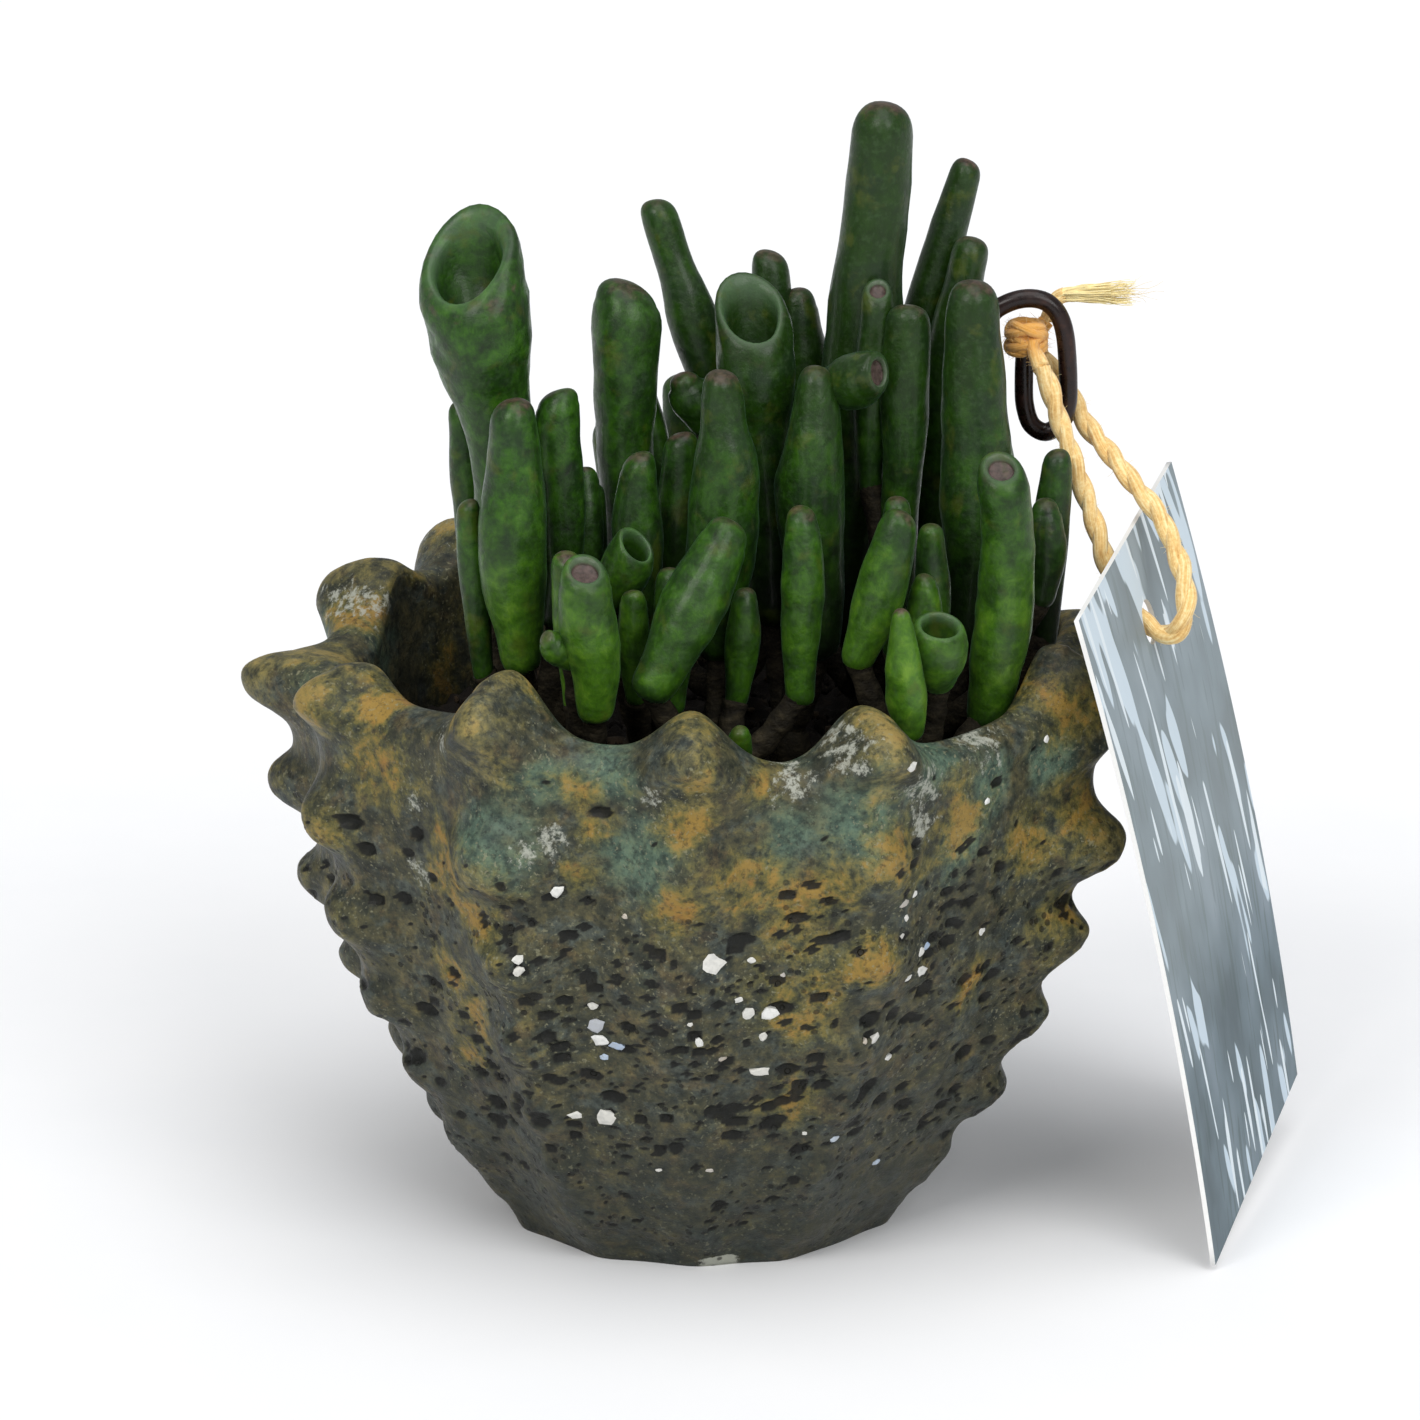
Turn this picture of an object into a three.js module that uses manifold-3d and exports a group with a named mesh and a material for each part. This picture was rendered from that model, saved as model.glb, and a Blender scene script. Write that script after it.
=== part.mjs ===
// A potted gollum jade (Crassula ovata with tube-shaped leaves) in a ribbed clam-shell pot, with a card
// tag tied by jute twine to a wire hook in the soil. Millimetres, +Z up, the front towards -Y.
// The origin is the middle of the pot's flat base, on the surface that it stands on.
import * as THREE from "three";
import { mergeVertices } from "three/addons/utils/BufferGeometryUtils.js";
import Module from "manifold-3d";

const wasm = await Module();
wasm.setup();

// Driving dimensions of the pot
const RIM_HEIGHT = 70; // lowest height of the rim, between two ribs
const WALL = 6;
const FLOOR_THICKNESS = 7;
const SOIL_TOP = 58;
const SOIL_GAP = 0.4;
const RIB_SPREAD = 8.5; // degrees, half width of a rib
const KNOB_SPREAD = 6.5; // degrees, half width of a knob
const RIM_SPREAD = 6.8; // degrees, half width of a rib's crest on the rim
const COLUMNS_PER_RIB = 6;

// Radius of the outer wall in the grooves, and how far ribs and knobs stand out of it, by height
const GROOVE_RADIUS = [
  [0, 22.6], [2, 25], [8, 29.2], [18, 34.2], [27, 38.2], [40, 43.2], [52, 46], [62, 47.2], [85, 48],
];
const RIB_RISE = [[0, 0.8], [8, 1.4], [20, 2], [40, 2.8], [60, 3.2], [80, 3.2]];
const KNOB_RISE = [[0, 0.2], [10, 1], [20, 2], [32, 3.2], [45, 4.2], [58, 4.8], [80, 4.8]];
const KNOB_HEIGHTS = [3.5, 13, 22.5, 32.5, 43.5, 55.5, 68.5, 81.5];
const KNOB_FULLNESS = 1.1; // how full the knobs and the dips between them are
const RIM_START = 52; // height from which the relief goes over to that of the rim
const DEEPEST_DIP = -2; // how far the rim may dip below RIM_HEIGHT
const WALL_TOP = 66.5; // where the outer and the inner wall go over into the round rim
const OUTER_LIFT_POWER = 8; // how late the outer wall starts to follow the rise of the rim
const INNER_LIFT_START = 52; // height from which the inner wall follows it
const INNER_LIFT = 1.05; // and the share of it that the inner wall takes
const CREST_SLANT = 0.3; // how far the top of a crest falls outwards, as a share of its rise
const FLARE_START = 61; // height from which the inner wall follows the ribs outwards
const FLARE_TOP = 68; // and where it does so fully
const INNER_FLARE = 0.12; // the share of a rib's relief that it takes, unless the rib has its own

// Height of the rim between ribs, by direction in degrees from the front
const VALLEY_HEIGHT = [
  [0, 71], [13, 69.5], [45, 69.7], [90, 71], [150, 73], [200, 75], [240, 74.5], [262, 69.5], [290, 71.5],
  [316, 73], [346, 72], [360, 71],
];

// Each rib: its direction, how far its crest rises above the rim, the share of the usual relief that it has
// on the wall and at the rim, and the share of its wall relief that its knobs have. Some ribs have their
// knobs lower, or have a flare of their own on the inner wall.
const RIBS = [
  { turn: -1, rise: 6.5, wall: 0.8, rim: 0.9, knobs: 0.35 },
  { turn: 25, rise: 7.5, wall: 0.95, rim: 1, knobs: 0.45 },
  { turn: 70, rise: 7, wall: 1.35, rim: 0.5, knobs: 0.8, lower: 4.2, flare: 0.55 },
  { turn: 103, rise: 2.6, wall: 0.8, rim: 0.95, knobs: 0.6, flare: 0.55 },
  { turn: 130, rise: 5, wall: 1, rim: 1, knobs: 1 },
  { turn: 157, rise: 4, wall: 1, rim: 1, knobs: 1 },
  { turn: 188, rise: 5, wall: 1, rim: 1, knobs: 1 },
  { turn: 220, rise: 5.5, wall: 1, rim: 1.05, knobs: 1 },
  { turn: 243, rise: 4.5, wall: 1, rim: 0.95, knobs: 1 },
  { turn: 266, rise: 1, wall: 1.12, rim: 1.25, knobs: 0.86, lower: 2.2 },
  { turn: 296, rise: 4.5, wall: 1.05, rim: 0.9, knobs: 0.7 },
  { turn: 330, rise: 8.5, wall: 1, rim: 1, knobs: 0.7 },
];

// Driving dimensions of the stems, the hook, the twine and the tag
const STEM_FOOT = 46; // how deep a stem reaches into the soil
const STEM_RADIUS = 2.6;
const STEM_TOP = 63;
const TWIG_RADIUS = 1.7;
const HOLE_GAP = 0.5;
const WIRE_DIAMETER = 2.3;
const TWINE_DIAMETER = 2.5;
const KNOT_GAP = 0.5; // between the wire and the wrap of twine round it
const CARD_LENGTH = 85;
const CARD_WIDTH = 55;
const CARD_THICKNESS = 0.6;
const CARD_BOW = 1.5; // how far the card's middle bulges outwards
const CARD_HOLE_DIAMETER = 5.6;
const CARD_HOLE_ALONG = 74; // from the foot edge
const CARD_STEPS = 10;

const radians = THREE.MathUtils.degToRad;
const point = (place) => new THREE.Vector3(...place);

// Value at a position, between the rows of a [position, value] list
function along(rows, position) {
  let i = 0;
  while (i < rows.length - 2 && position > rows[i + 1][0]) i += 1;
  const [start, from] = rows[i];
  const [end, to] = rows[i + 1];
  const share = THREE.MathUtils.clamp((position - start) / (end - start), 0, 1);
  return from + (to - from) * share;
}

function turnBetween(a, b) {
  const difference = (((a - b) % 360) + 540) % 360;
  return difference - 180;
}

const bell = (offset, halfWidth) => Math.exp(-((offset / halfWidth) ** 2));

function rimHeight(turn) {
  let height = along(VALLEY_HEIGHT, (turn + 360) % 360);
  for (const rib of RIBS) height += rib.rise * bell(turnBetween(turn, rib.turn), RIM_SPREAD);
  return height;
}

// From 1 at the height of a knob to 0 midway to the next
function knobShare(height) {
  const knob = along(KNOB_HEIGHTS.map((place, i) => [place, i]), height);
  const wave = Math.tanh(KNOB_FULLNESS * Math.cos(2 * Math.PI * knob));
  return 0.5 + (0.5 * wave) / Math.tanh(KNOB_FULLNESS);
}

// How far one rib with its knobs stands out of the wall at a direction and height
function ribRelief(rib, turn, height) {
  const offset = turnBetween(turn, rib.turn);
  const ribShare = along([[RIM_START, rib.wall], [RIM_HEIGHT, rib.rim]], height);
  const knobsShare = along([[RIM_START, rib.wall * rib.knobs], [RIM_HEIGHT, rib.rim]], height);
  const knobRise = along(KNOB_RISE, height) * knobShare(height + (rib.lower ?? 0));
  const rise = ribShare * along(RIB_RISE, height) * bell(offset, RIB_SPREAD);
  return rise + knobsShare * knobRise * bell(offset, KNOB_SPREAD);
}

const innerRadius = (height) => along(GROOVE_RADIUS, height) - WALL;
const rimLift = (turn) => Math.max(rimHeight(turn) - RIM_HEIGHT, DEEPEST_DIP);

// Radius and height of the outer wall, from its height where the rim is lowest
function outerWall(turn, station) {
  const height = station + rimLift(turn) * (station / RIM_HEIGHT) ** OUTER_LIFT_POWER;
  let radius = along(GROOVE_RADIUS, height);
  for (const rib of RIBS) radius += ribRelief(rib, turn, station);
  return [radius, height];
}

// The same for the inner wall, which follows the ribs outwards near the rim
function innerWall(turn, station) {
  const rise = THREE.MathUtils.smoothstep(station, INNER_LIFT_START, WALL_TOP);
  const height = station + INNER_LIFT * rimLift(turn) * rise;
  const flare = THREE.MathUtils.smoothstep(height, FLARE_START, FLARE_TOP);
  let radius = innerRadius(height);
  for (const rib of RIBS) {
    radius += (rib.flare ?? INNER_FLARE) * flare * ribRelief(rib, turn, Math.min(height, FLARE_TOP));
  }
  return [radius, height];
}

// The round rim between the two walls, at a share of the way across from outside
function rimTop(turn, across) {
  const [outside, outerHeight] = outerWall(turn, WALL_TOP);
  const [inside, innerHeight] = innerWall(turn, WALL_TOP);
  const low = outerHeight + (innerHeight - outerHeight) * across;
  const top = rimHeight(turn) - CREST_SLANT * Math.max(rimLift(turn), 0) * (1 - across);
  const arch = (1 - (1 - 2 * across) ** 2) ** 0.4;
  return [outside + (inside - outside) * across, low + (top - low) * arch];
}

// Closed mesh to solid and back
function toSolid(geometry) {
  const bare = geometry.clone();
  bare.deleteAttribute("normal");
  bare.deleteAttribute("uv");
  const merged = mergeVertices(bare, 1e-4);
  const vertProperties = new Float32Array(merged.attributes.position.array);
  const triVerts = new Uint32Array(merged.index.array);
  const mesh = new wasm.Mesh({ numProp: 3, vertProperties, triVerts });
  mesh.merge();
  return new wasm.Manifold(mesh);
}

function toGeometry(solid) {
  const mesh = solid.getMesh();
  const geometry = new THREE.BufferGeometry();
  geometry.setAttribute("position", new THREE.BufferAttribute(new Float32Array(mesh.vertProperties), 3));
  geometry.setIndex(new THREE.BufferAttribute(new Uint32Array(mesh.triVerts), 1));
  geometry.computeVertexNormals();
  return geometry;
}

function largestPiece(solid) {
  const pieces = solid.decompose();
  return pieces.reduce((best, piece) => (piece.volume() > best.volume() ? piece : best));
}

function material(color, roughness, metalness = 0) {
  return new THREE.MeshStandardMaterial({ color, roughness, metalness });
}

const glaze = material(0x55553f, 0.6);
const earth = material(0x2a221b, 0.95);
const foliage = material(0x2f5a24, 0.4);
const wire = material(0x2e1f1a, 0.35, 0.6);
const jute = material(0xc9a14f, 0.9);
const card = material(0x788c92, 0.3);

const group = new THREE.Group();

function addPiece(name, geometry, surface) {
  const mesh = new THREE.Mesh(geometry, surface);
  mesh.name = name;
  group.add(mesh);
}

// A lathe profile of [radius, height] rows, turned into a solid whose up axis is Z, with each vertex moved
function lathe(rows, columns, move = (vertex) => vertex) {
  const profile = rows.map(([radius, height]) => new THREE.Vector2(radius, height));
  const geometry = new THREE.LatheGeometry(profile, columns);
  geometry.rotateX(Math.PI / 2);
  const position = geometry.attributes.position;
  const vertex = new THREE.Vector3();
  for (let i = 0; i < position.count; i += 1) {
    vertex.fromBufferAttribute(position, i);
    const moved = move(vertex.clone(), Math.floor(i / rows.length), i % rows.length);
    position.setXYZ(i, moved.x, moved.y, moved.z);
  }
  return geometry;
}

// Direction in degrees from the front of a column of the pot, with columns set close on each rib
function columnTurn(column) {
  const rib = Math.floor(column / COLUMNS_PER_RIB) % RIBS.length;
  const start = RIBS[rib].turn;
  const gap = (turnBetween(RIBS[(rib + 1) % RIBS.length].turn, start) + 360) % 360;
  return start + (gap * (column % COLUMNS_PER_RIB)) / COLUMNS_PER_RIB;
}

function around(turn, radius, height) {
  const angle = radians(turn);
  return new THREE.Vector3(radius * Math.sin(angle), -radius * Math.cos(angle), height);
}

// Pot: base, ribbed outer wall, round rim, inner wall and floor in one closed profile
function potGeometry() {
  const outer = [0, 4, 8.5, 13, 18, 22.5, 27.5, 32.5, 38, 43.5, 49.5, 55.5, 59, 62.5, WALL_TOP];
  const inner = [WALL_TOP, 61, 52, 40, 27, 18, FLOOR_THICKNESS];
  const stations = [
    () => [0, 0],
    ...outer.map((station) => (turn) => outerWall(turn, station)),
    ...[0.12, 0.38, 0.65, 0.9].map((across) => (turn) => rimTop(turn, across)),
    ...inner.map((station) => (turn) => innerWall(turn, station)),
    () => [0, FLOOR_THICKNESS],
  ];
  const onAxis = (row) => row === 0 || row === stations.length - 1;
  const rows = stations.map((station, row) => [onAxis(row) ? 0 : 1, 0]);
  return lathe(rows, RIBS.length * COLUMNS_PER_RIB, (vertex, column, row) => {
    const turn = columnTurn(column);
    return around(turn, ...stations[row](turn));
  });
}

// Soil: fills the pot up to SOIL_TOP, with a lumpy top
const SOIL_COLUMNS = 24;
const LUMP_HEIGHT = 0.7;
const LUMP_BASE = 0.6; // how far the middle of the lumps lies above SOIL_TOP

function soilGeometry() {
  const sideHeights = [FLOOR_THICKNESS + SOIL_GAP, 18, 27, 40, 52, SOIL_TOP];
  const side = sideHeights.map((height) => [innerRadius(height) - SOIL_GAP, height]);
  const crown = [30, 20, 10].map((radius) => [radius, SOIL_TOP]);
  const lump = (x, y) => LUMP_BASE + LUMP_HEIGHT * Math.sin(0.55 * x + 1.3) * Math.cos(0.48 * y + 0.4);
  const rows = [[0, FLOOR_THICKNESS + SOIL_GAP], ...side, ...crown, [0, SOIL_TOP]];
  return lathe(rows, SOIL_COLUMNS, (vertex, column, row) => {
    if (row > side.length) vertex.z += lump(vertex.x, vertex.y);
    return vertex;
  });
}

// Leaves. A finger ends round, and a cup ends in a hollow whose mouth looks to one side.
const NARROW = 5; // a leaf under this width has fewer sides
const FORMS = {
  finger: { mouth: 0, depth: 0, flare: 0 },
  dimple: { mouth: 0.5, depth: 0.9, flare: 0.4 },
  cup: { mouth: 0.64, depth: 4.5, flare: 0.8 },
  trumpet: { mouth: 0.66, depth: 9, flare: 1 },
};

const TIP_TAPER = 0.28; // how much narrower a finger usually is at its tip than at its belly
const TAPER_ROOM = 0.4; // share of the length that the whole of this taper needs

// The waist is the share of the width that a leaf has up to its neck, from where it swells to its belly
const USUAL = {
  form: "finger", neck: 0, belly: 0.6, waist: 0.62, taper: TIP_TAPER, bend: [0, 0, 0], look: [0, -0.7, 0.7],
};
const leaf = (root, tip, width, extra = {}) => ({ root, tip, width, ...USUAL, ...extra });

// Half width of a leaf, as a share of its widest, at a share of its length
function swell(share, { neck, belly, waist, taper, form }) {
  const { flare } = FORMS[form];
  const narrowing = (1 - flare) * taper * Math.min((1 - belly) / TAPER_ROOM, 1);
  const rise = THREE.MathUtils.smoothstep(share, neck, belly);
  const fall = THREE.MathUtils.smoothstep(share, belly, 1);
  return waist + (1 - waist) * rise - narrowing * fall;
}

function leafProfile(spec) {
  const length = point(spec.root).distanceTo(point(spec.tip));
  const half = spec.width / 2;
  const { mouth, depth } = FORMS[spec.form];
  const shoulder = length - half * (mouth > 0 ? 0.7 : 0.8);
  const rows = [[0, 0]];
  for (const share of [0, 0.25, 0.5, 0.75, 1]) {
    rows.push([half * swell(share * (shoulder / length), spec), share * shoulder]);
  }
  const last = half * swell(1, spec);
  if (mouth === 0) {
    rows.push([last * 0.9, length - half * 0.37], [last * 0.58, length - half * 0.07], [0, length]);
    return rows;
  }
  rows.push([last * 0.94, length - half * 0.24], [last * (mouth + 0.12), length]);
  rows.push([last * mouth, length - half * 0.2], [last * mouth * 0.72, length - depth * 0.7]);
  rows.push([0, length - depth]);
  return rows;
}

function leafSolid(spec) {
  const rows = leafProfile(spec);
  const root = point(spec.root);
  const tip = point(spec.tip);
  const middle = root.clone().lerp(tip, 0.5).add(point(spec.bend));
  const curve = new THREE.QuadraticBezierCurve3(root, middle, tip);
  const length = root.distanceTo(tip);
  const { mouth } = FORMS[spec.form];
  const look = point(spec.look).normalize();
  const sides = mouth > 0 ? 10 : spec.width < NARROW ? 6 : 8;
  const geometry = lathe(rows, sides, (vertex) => {
    const share = THREE.MathUtils.clamp(vertex.z / length, 0, 1);
    const forward = curve.getTangent(share);
    const sideways = new THREE.Vector3(0, 1, 0).cross(forward).normalize();
    const across = forward.clone().cross(sideways);
    const spoke = sideways.multiplyScalar(vertex.x).add(across.multiplyScalar(vertex.y));
    const placed = curve.getPoint(share).add(spoke);
    if (mouth > 0) {
      const near = THREE.MathUtils.smoothstep(share, 0.55, 1);
      placed.addScaledVector(forward, (-spoke.dot(look) / forward.dot(look)) * near);
    }
    return placed;
  });
  return toSolid(geometry);
}

// A straight round bar between two points
function bar(from, to, radius, sides) {
  const line = point(to).sub(point(from));
  const geometry = new THREE.CylinderGeometry(radius, radius, line.length(), sides);
  const up = new THREE.Vector3(0, 1, 0);
  geometry.applyQuaternion(new THREE.Quaternion().setFromUnitVectors(up, line.clone().normalize()));
  geometry.translate(...point(from).addScaledVector(line, 0.5).toArray());
  return toSolid(geometry);
}

// Leafy stems: the place where each stands in the soil, and the leaves that it carries
const STEMS = {
  stem_left: {
    foot: [-20, -9],
    leaves: [
      leaf([-23, -5, 76], [-28, -6, 122.1], 13, {
        form: "trumpet", neck: 0.4, belly: 0.88, waist: 0.54, bend: [2, 0, 0], look: [-0.39, -0.65, 0.66],
      }),
      leaf([-27, 1, 76], [-29.5, 4, 102], 4.5),
      leaf([-26, -13, 71], [-27.9, -13, 93.8], 3.7, { bend: [-0.5, 0, 0] }),
      leaf([-21.5, -16, 73], [-22.3, -16, 107], 8.2, { belly: 0.4, waist: 0.55 }),
      leaf([-17.2, -7, 76], [-17, -5, 105.6], 5.8, { belly: 0.85, waist: 0.8 }),
      leaf([-13.7, -6, 76], [-14, -3, 95.5], 4.4),
      leaf([-12.2, -5, 76], [-12.9, -3.2, 93.5], 3.4),
    ],
  },
  stem_front_left: {
    foot: [-13, -24],
    leaves: [
      leaf([-12.4, -28.5, 70.6], [-13.5, -31, 89.9], 7, { form: "dimple", look: [0.1, -0.55, 0.8] }),
      leaf([-14.8, -22.5, 70], [-16, -23.5, 90], 5),
      leaf([-14.6, -28, 77.5], [-18.2, -31.5, 82], 3.6),
    ],
  },
  stem_middle: {
    foot: [-7, -6],
    leaves: [
      leaf([-8, 1, 72], [-9.2, 4, 117], 8.4, { neck: 0.5, belly: 0.86, waist: 0.8 }),
      leaf([-9, 5, 84], [-11.3, 10, 104.3], 4.4),
      leaf([-3.5, 6, 84], [-7.6, 9, 104.5], 4.6),
      leaf([-7.5, -8, 72], [-7.1, -8, 98.5], 6),
      leaf([-3, -3.5, 72], [-2.3, -2, 99.5], 6),
      leaf([-10.5, -15, 81], [-7.6, -18.5, 89.6], 6, { form: "cup", look: [0.6, -0.5, 0.62] }),
      leaf([-7.6, -19, 70], [-8, -20, 84.5], 4.2),
      leaf([-3.4, -16.5, 68], [-3.4, -17, 86.5], 5),
    ],
  },
  stem_front: {
    foot: [2, -21],
    leaves: [
      leaf([-6.4, -27.5, 73], [4, -22, 93.6], 7.8, { belly: 0.55, waist: 0.7 }),
      leaf([2.2, -11.5, 73], [2.6, -11, 109.3], 8.7, {
        belly: 0.5, waist: 0.6, taper: 0.42, bend: [1, 0, 0],
      }),
      leaf([12, -20, 70], [12.1, -19, 94.5], 5.4),
      leaf([4.5, -27, 62.5], [4.8, -31, 70.5], 3.4),
      leaf([4.2, -17.5, 69], [5.4, -17, 84], 4.2),
    ],
  },
  stem_centre: {
    foot: [11, -3],
    leaves: [
      leaf([14.6, -6, 72], [14.1, -5, 108.5], 8.5, { belly: 0.55, taper: 0.42, bend: [-1.4, 0, 0] }),
      leaf([9, 2, 74], [6, 2, 113.9], 9.8, {
        form: "trumpet", neck: 0.4, belly: 0.9, waist: 0.6, bend: [1, 0, 0], look: [0.08, -0.67, 0.74],
      }),
      leaf([14.5, 1.2, 104], [21.5, -7, 108.2], 7, { form: "dimple", look: [0.8, -0.5, 0.1] }),
    ],
  },
  stem_back: {
    foot: [3, 12],
    leaves: [
      leaf([1.2, 6, 97.5], [-2.4, 4.5, 105.3], 5.4),
      leaf([5.2, 10, 84], [-5.8, 14, 125], 6, { bend: [2.6, 0, 0] }),
      leaf([8.9, 13, 80], [8.6, 17, 118], 5.4, { belly: 0.7 }),
      leaf([13, 15, 79], [12, 16.5, 113.4], 7.2, { taper: 0.4, bend: [1.5, 0, 0] }),
      leaf([0, 20, 70], [-3, 27, 100], 5.6),
      leaf([-6, 16, 70], [-12, 20, 96], 5.4),
      leaf([6, 24, 68], [8, 31, 92], 5.6),
    ],
  },
  stem_tall: {
    foot: [21, 11],
    leaves: [
      leaf([17.7, 10, 70], [22.6, 10, 137.9], 9.6, { belly: 0.5, taper: 0.24, bend: [-0.7, 0, 0] }),
      leaf([22.5, 15, 84], [33.2, 19, 129], 5.4, { bend: [-1, 0, 2] }),
      leaf([28.6, 12.5, 78], [33.6, 13, 120.5], 6.2, { bend: [-2.6, 0, 0] }),
      leaf([20.5, 22, 70], [22, 29, 101], 5.8),
      leaf([28, 20, 72], [33, 25, 104], 5.4),
      leaf([13.5, 20, 70], [15, 25, 98], 5.2),
    ],
  },
  stem_right: {
    foot: [28, -6],
    leaves: [
      leaf([24.4, 2, 75], [25.3, 1, 114.7], 6.1, { neck: 0.4, belly: 0.8, waist: 0.75 }),
      leaf([32.9, -2, 72], [33, 0, 118], 9, { belly: 0.45, waist: 0.7, bend: [1.2, 0, 0] }),
      leaf([20.9, 3.1, 90], [21.6, 2.8, 116.2], 4.7, { form: "dimple", look: [0, -0.6, 0.8] }),
      leaf([27.8, -13, 73], [27.8, -13.5, 91], 4.4),
      leaf([23.5, -13, 74], [23.7, -12, 94], 4.2),
      leaf([41.2, -6, 78.5], [41.7, -6, 92.2], 5),
      leaf([42, -2, 72], [43.5, -1.5, 97.3], 4.8),
    ],
  },
  stem_front_right: {
    foot: [26, -23],
    leaves: [
      leaf([34.2, -16, 66], [35.7, -20, 99.6], 7.2, {
        form: "dimple", belly: 0.4, waist: 0.7, bend: [3.2, 0, 0], look: [0, -0.6, 0.8],
      }),
      leaf([18.4, -21, 75], [24, -21, 94.6], 6.2, { belly: 0.45 }),
      leaf([25, -29, 68.5], [23.6, -31.5, 85.3], 5.2, { belly: 0.35, taper: 0.55 }),
      leaf([28.4, -24, 73.5], [28.4, -28.3, 82.4], 7, { form: "cup", look: [0.1, -0.4, 0.9] }),
      leaf([26.8, -17.5, 74], [26.9, -18.5, 86], 4),
    ],
  },
};

const STEM_SIDES = 8;
const TWIG_SIDES = 5;
const TWIG_INTO_LEAF = 0.06; // share of a leaf's length that its twig reaches into it

function stemSolid({ foot, leaves }) {
  const [x, y] = foot;
  let solid = bar([x, y, STEM_FOOT], [x, y, STEM_TOP], STEM_RADIUS, STEM_SIDES);
  const fork = [x, y, STEM_TOP - 1];
  for (const spec of leaves) {
    const twigEnd = point(spec.root).lerp(point(spec.tip), TWIG_INTO_LEAF).toArray();
    solid = solid.add(bar(fork, twigEnd, TWIG_RADIUS, TWIG_SIDES)).add(leafSolid(spec));
  }
  return largestPiece(solid);
}

// Wire hook: a stake in the soil whose top is bent round into a long eye
const HOOK_ROUTE = [
  [33.5, 11, 48], [34, 10.5, 65], [34.3, 9.5, 85], [34.4, 8.6, 101], [34.8, 8, 108.6], [35.7, 8, 112],
  [37.7, 8, 113.4], [40.1, 8, 113.95], [42.1, 8, 113.6], [43.45, 8, 112.5], [44.25, 8, 111],
  [44.7, 8, 109.2], [45, 8, 106.3], [45.15, 8, 103.3], [45.1, 8, 100.8], [44.4, 8, 98.4],
  [42.5, 8, 97.15], [40.8, 8, 98], [39.9, 8, 100.4], [39.7, 8, 104], [39.8, 8, 107.6], [40, 8, 110.4],
];

const HOOK_STEPS = 52;
const TUBE_SIDES = 8;

// A round bar along a curve through the points of a route
function tube(route, diameter, steps) {
  const outline = new THREE.Shape();
  for (let i = 0; i < TUBE_SIDES; i += 1) {
    const angle = (2 * Math.PI * i) / TUBE_SIDES;
    const x = (diameter / 2) * Math.cos(angle);
    const y = (diameter / 2) * Math.sin(angle);
    if (i === 0) outline.moveTo(x, y);
    else outline.lineTo(x, y);
  }
  outline.closePath();
  const extrudePath = new THREE.CatmullRomCurve3(route.map(point), false, "centripetal");
  return new THREE.ExtrudeGeometry(outline, { steps, extrudePath, bevelEnabled: false, curveSegments: 1 });
}

// Card tag: a bowed card standing on one corner, its print side to the right
const CARD_FOOT = [62.9, -25.8, 0.8];
const CARD_UP = point([-0.215, -0.058, 0.975]).normalize();
const CARD_BACK = point([0.262, 0.958, 0.113]);

function cardGeometry() {
  const outline = new THREE.Shape();
  const bow = (share) => 4 * CARD_BOW * share * (1 - share);
  for (let i = 0; i <= CARD_STEPS; i += 1) {
    const share = i / CARD_STEPS;
    if (i === 0) outline.moveTo(0, bow(0));
    else outline.lineTo(CARD_LENGTH * share, bow(share));
  }
  for (let i = CARD_STEPS; i >= 0; i -= 1) {
    const share = i / CARD_STEPS;
    outline.lineTo(CARD_LENGTH * share, bow(share) - CARD_THICKNESS);
  }
  outline.closePath();
  const blank = toSolid(new THREE.ExtrudeGeometry(outline, { depth: CARD_WIDTH, bevelEnabled: false }));
  const middle = CARD_WIDTH / 2;
  const punchEnds = [-5, 8].map((height) => [CARD_HOLE_ALONG, height, middle]);
  const punch = bar(...punchEnds, CARD_HOLE_DIAMETER / 2, 14);
  const geometry = toGeometry(blank.subtract(punch));
  const back = CARD_BACK.clone().addScaledVector(CARD_UP, -CARD_BACK.dot(CARD_UP)).normalize();
  const outwards = back.clone().cross(CARD_UP);
  const frame = new THREE.Matrix4().makeBasis(CARD_UP, outwards, back).setPosition(...CARD_FOOT);
  return geometry.applyMatrix4(frame);
}

// Twine: both ends in the knot on the hook's eye, its loop through the card's hole
const TWINE_ROUTE = [
  [41.6, 4.5, 106.2], [42.6, 4.2, 103.9], [43.2, 4, 101.8], [43.9, 3.8, 99.6], [44.9, 3, 97],
  [46.7, 1.8, 91.8], [48.4, 0.2, 87], [49.7, -1.5, 82.8], [51.1, -2.9, 79.8], [52.9, -3.8, 77.3],
  [54.5, -4.2, 76], [56.2, -5.2, 75.1], [57.9, -6.6, 75.6], [58.9, -7, 78], [59, -5.8, 81.2],
  [57.9, -3.2, 85], [56.1, -0.4, 88.6], [53.3, 1.8, 91.8], [50, 6, 95.3], [47.3, 9.6, 98.1],
  [46.1, 11.1, 100.2], [43.9, 11.3, 103.4], [41.9, 11.3, 106.2],
];
const TWINE_STEPS = 40;
const TAIL_ROUTE = [
  [42.55, 11.15, 110.4], [42.9, 11.3, 111.7], [43.7, 11.4, 113.1], [44.8, 11.3, 113.7],
  [46.4, 11.1, 113.9], [49.6, 11, 113.95], [53.4, 10.8, 114.05],
];
const TAIL_STEPS = 8;
const TAIL_DIAMETER = 1.8;

// Knot: a wrap of twine round the end of the eye
const KNOT_PLACE = [39.9, 8, 109.1];
const KNOT_HALF_HEIGHT = 2.5;
const KNOT_THICKNESS = 1.2;
const KNOT_EDGE = 0.6; // how far the edges of the wrap round off

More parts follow.
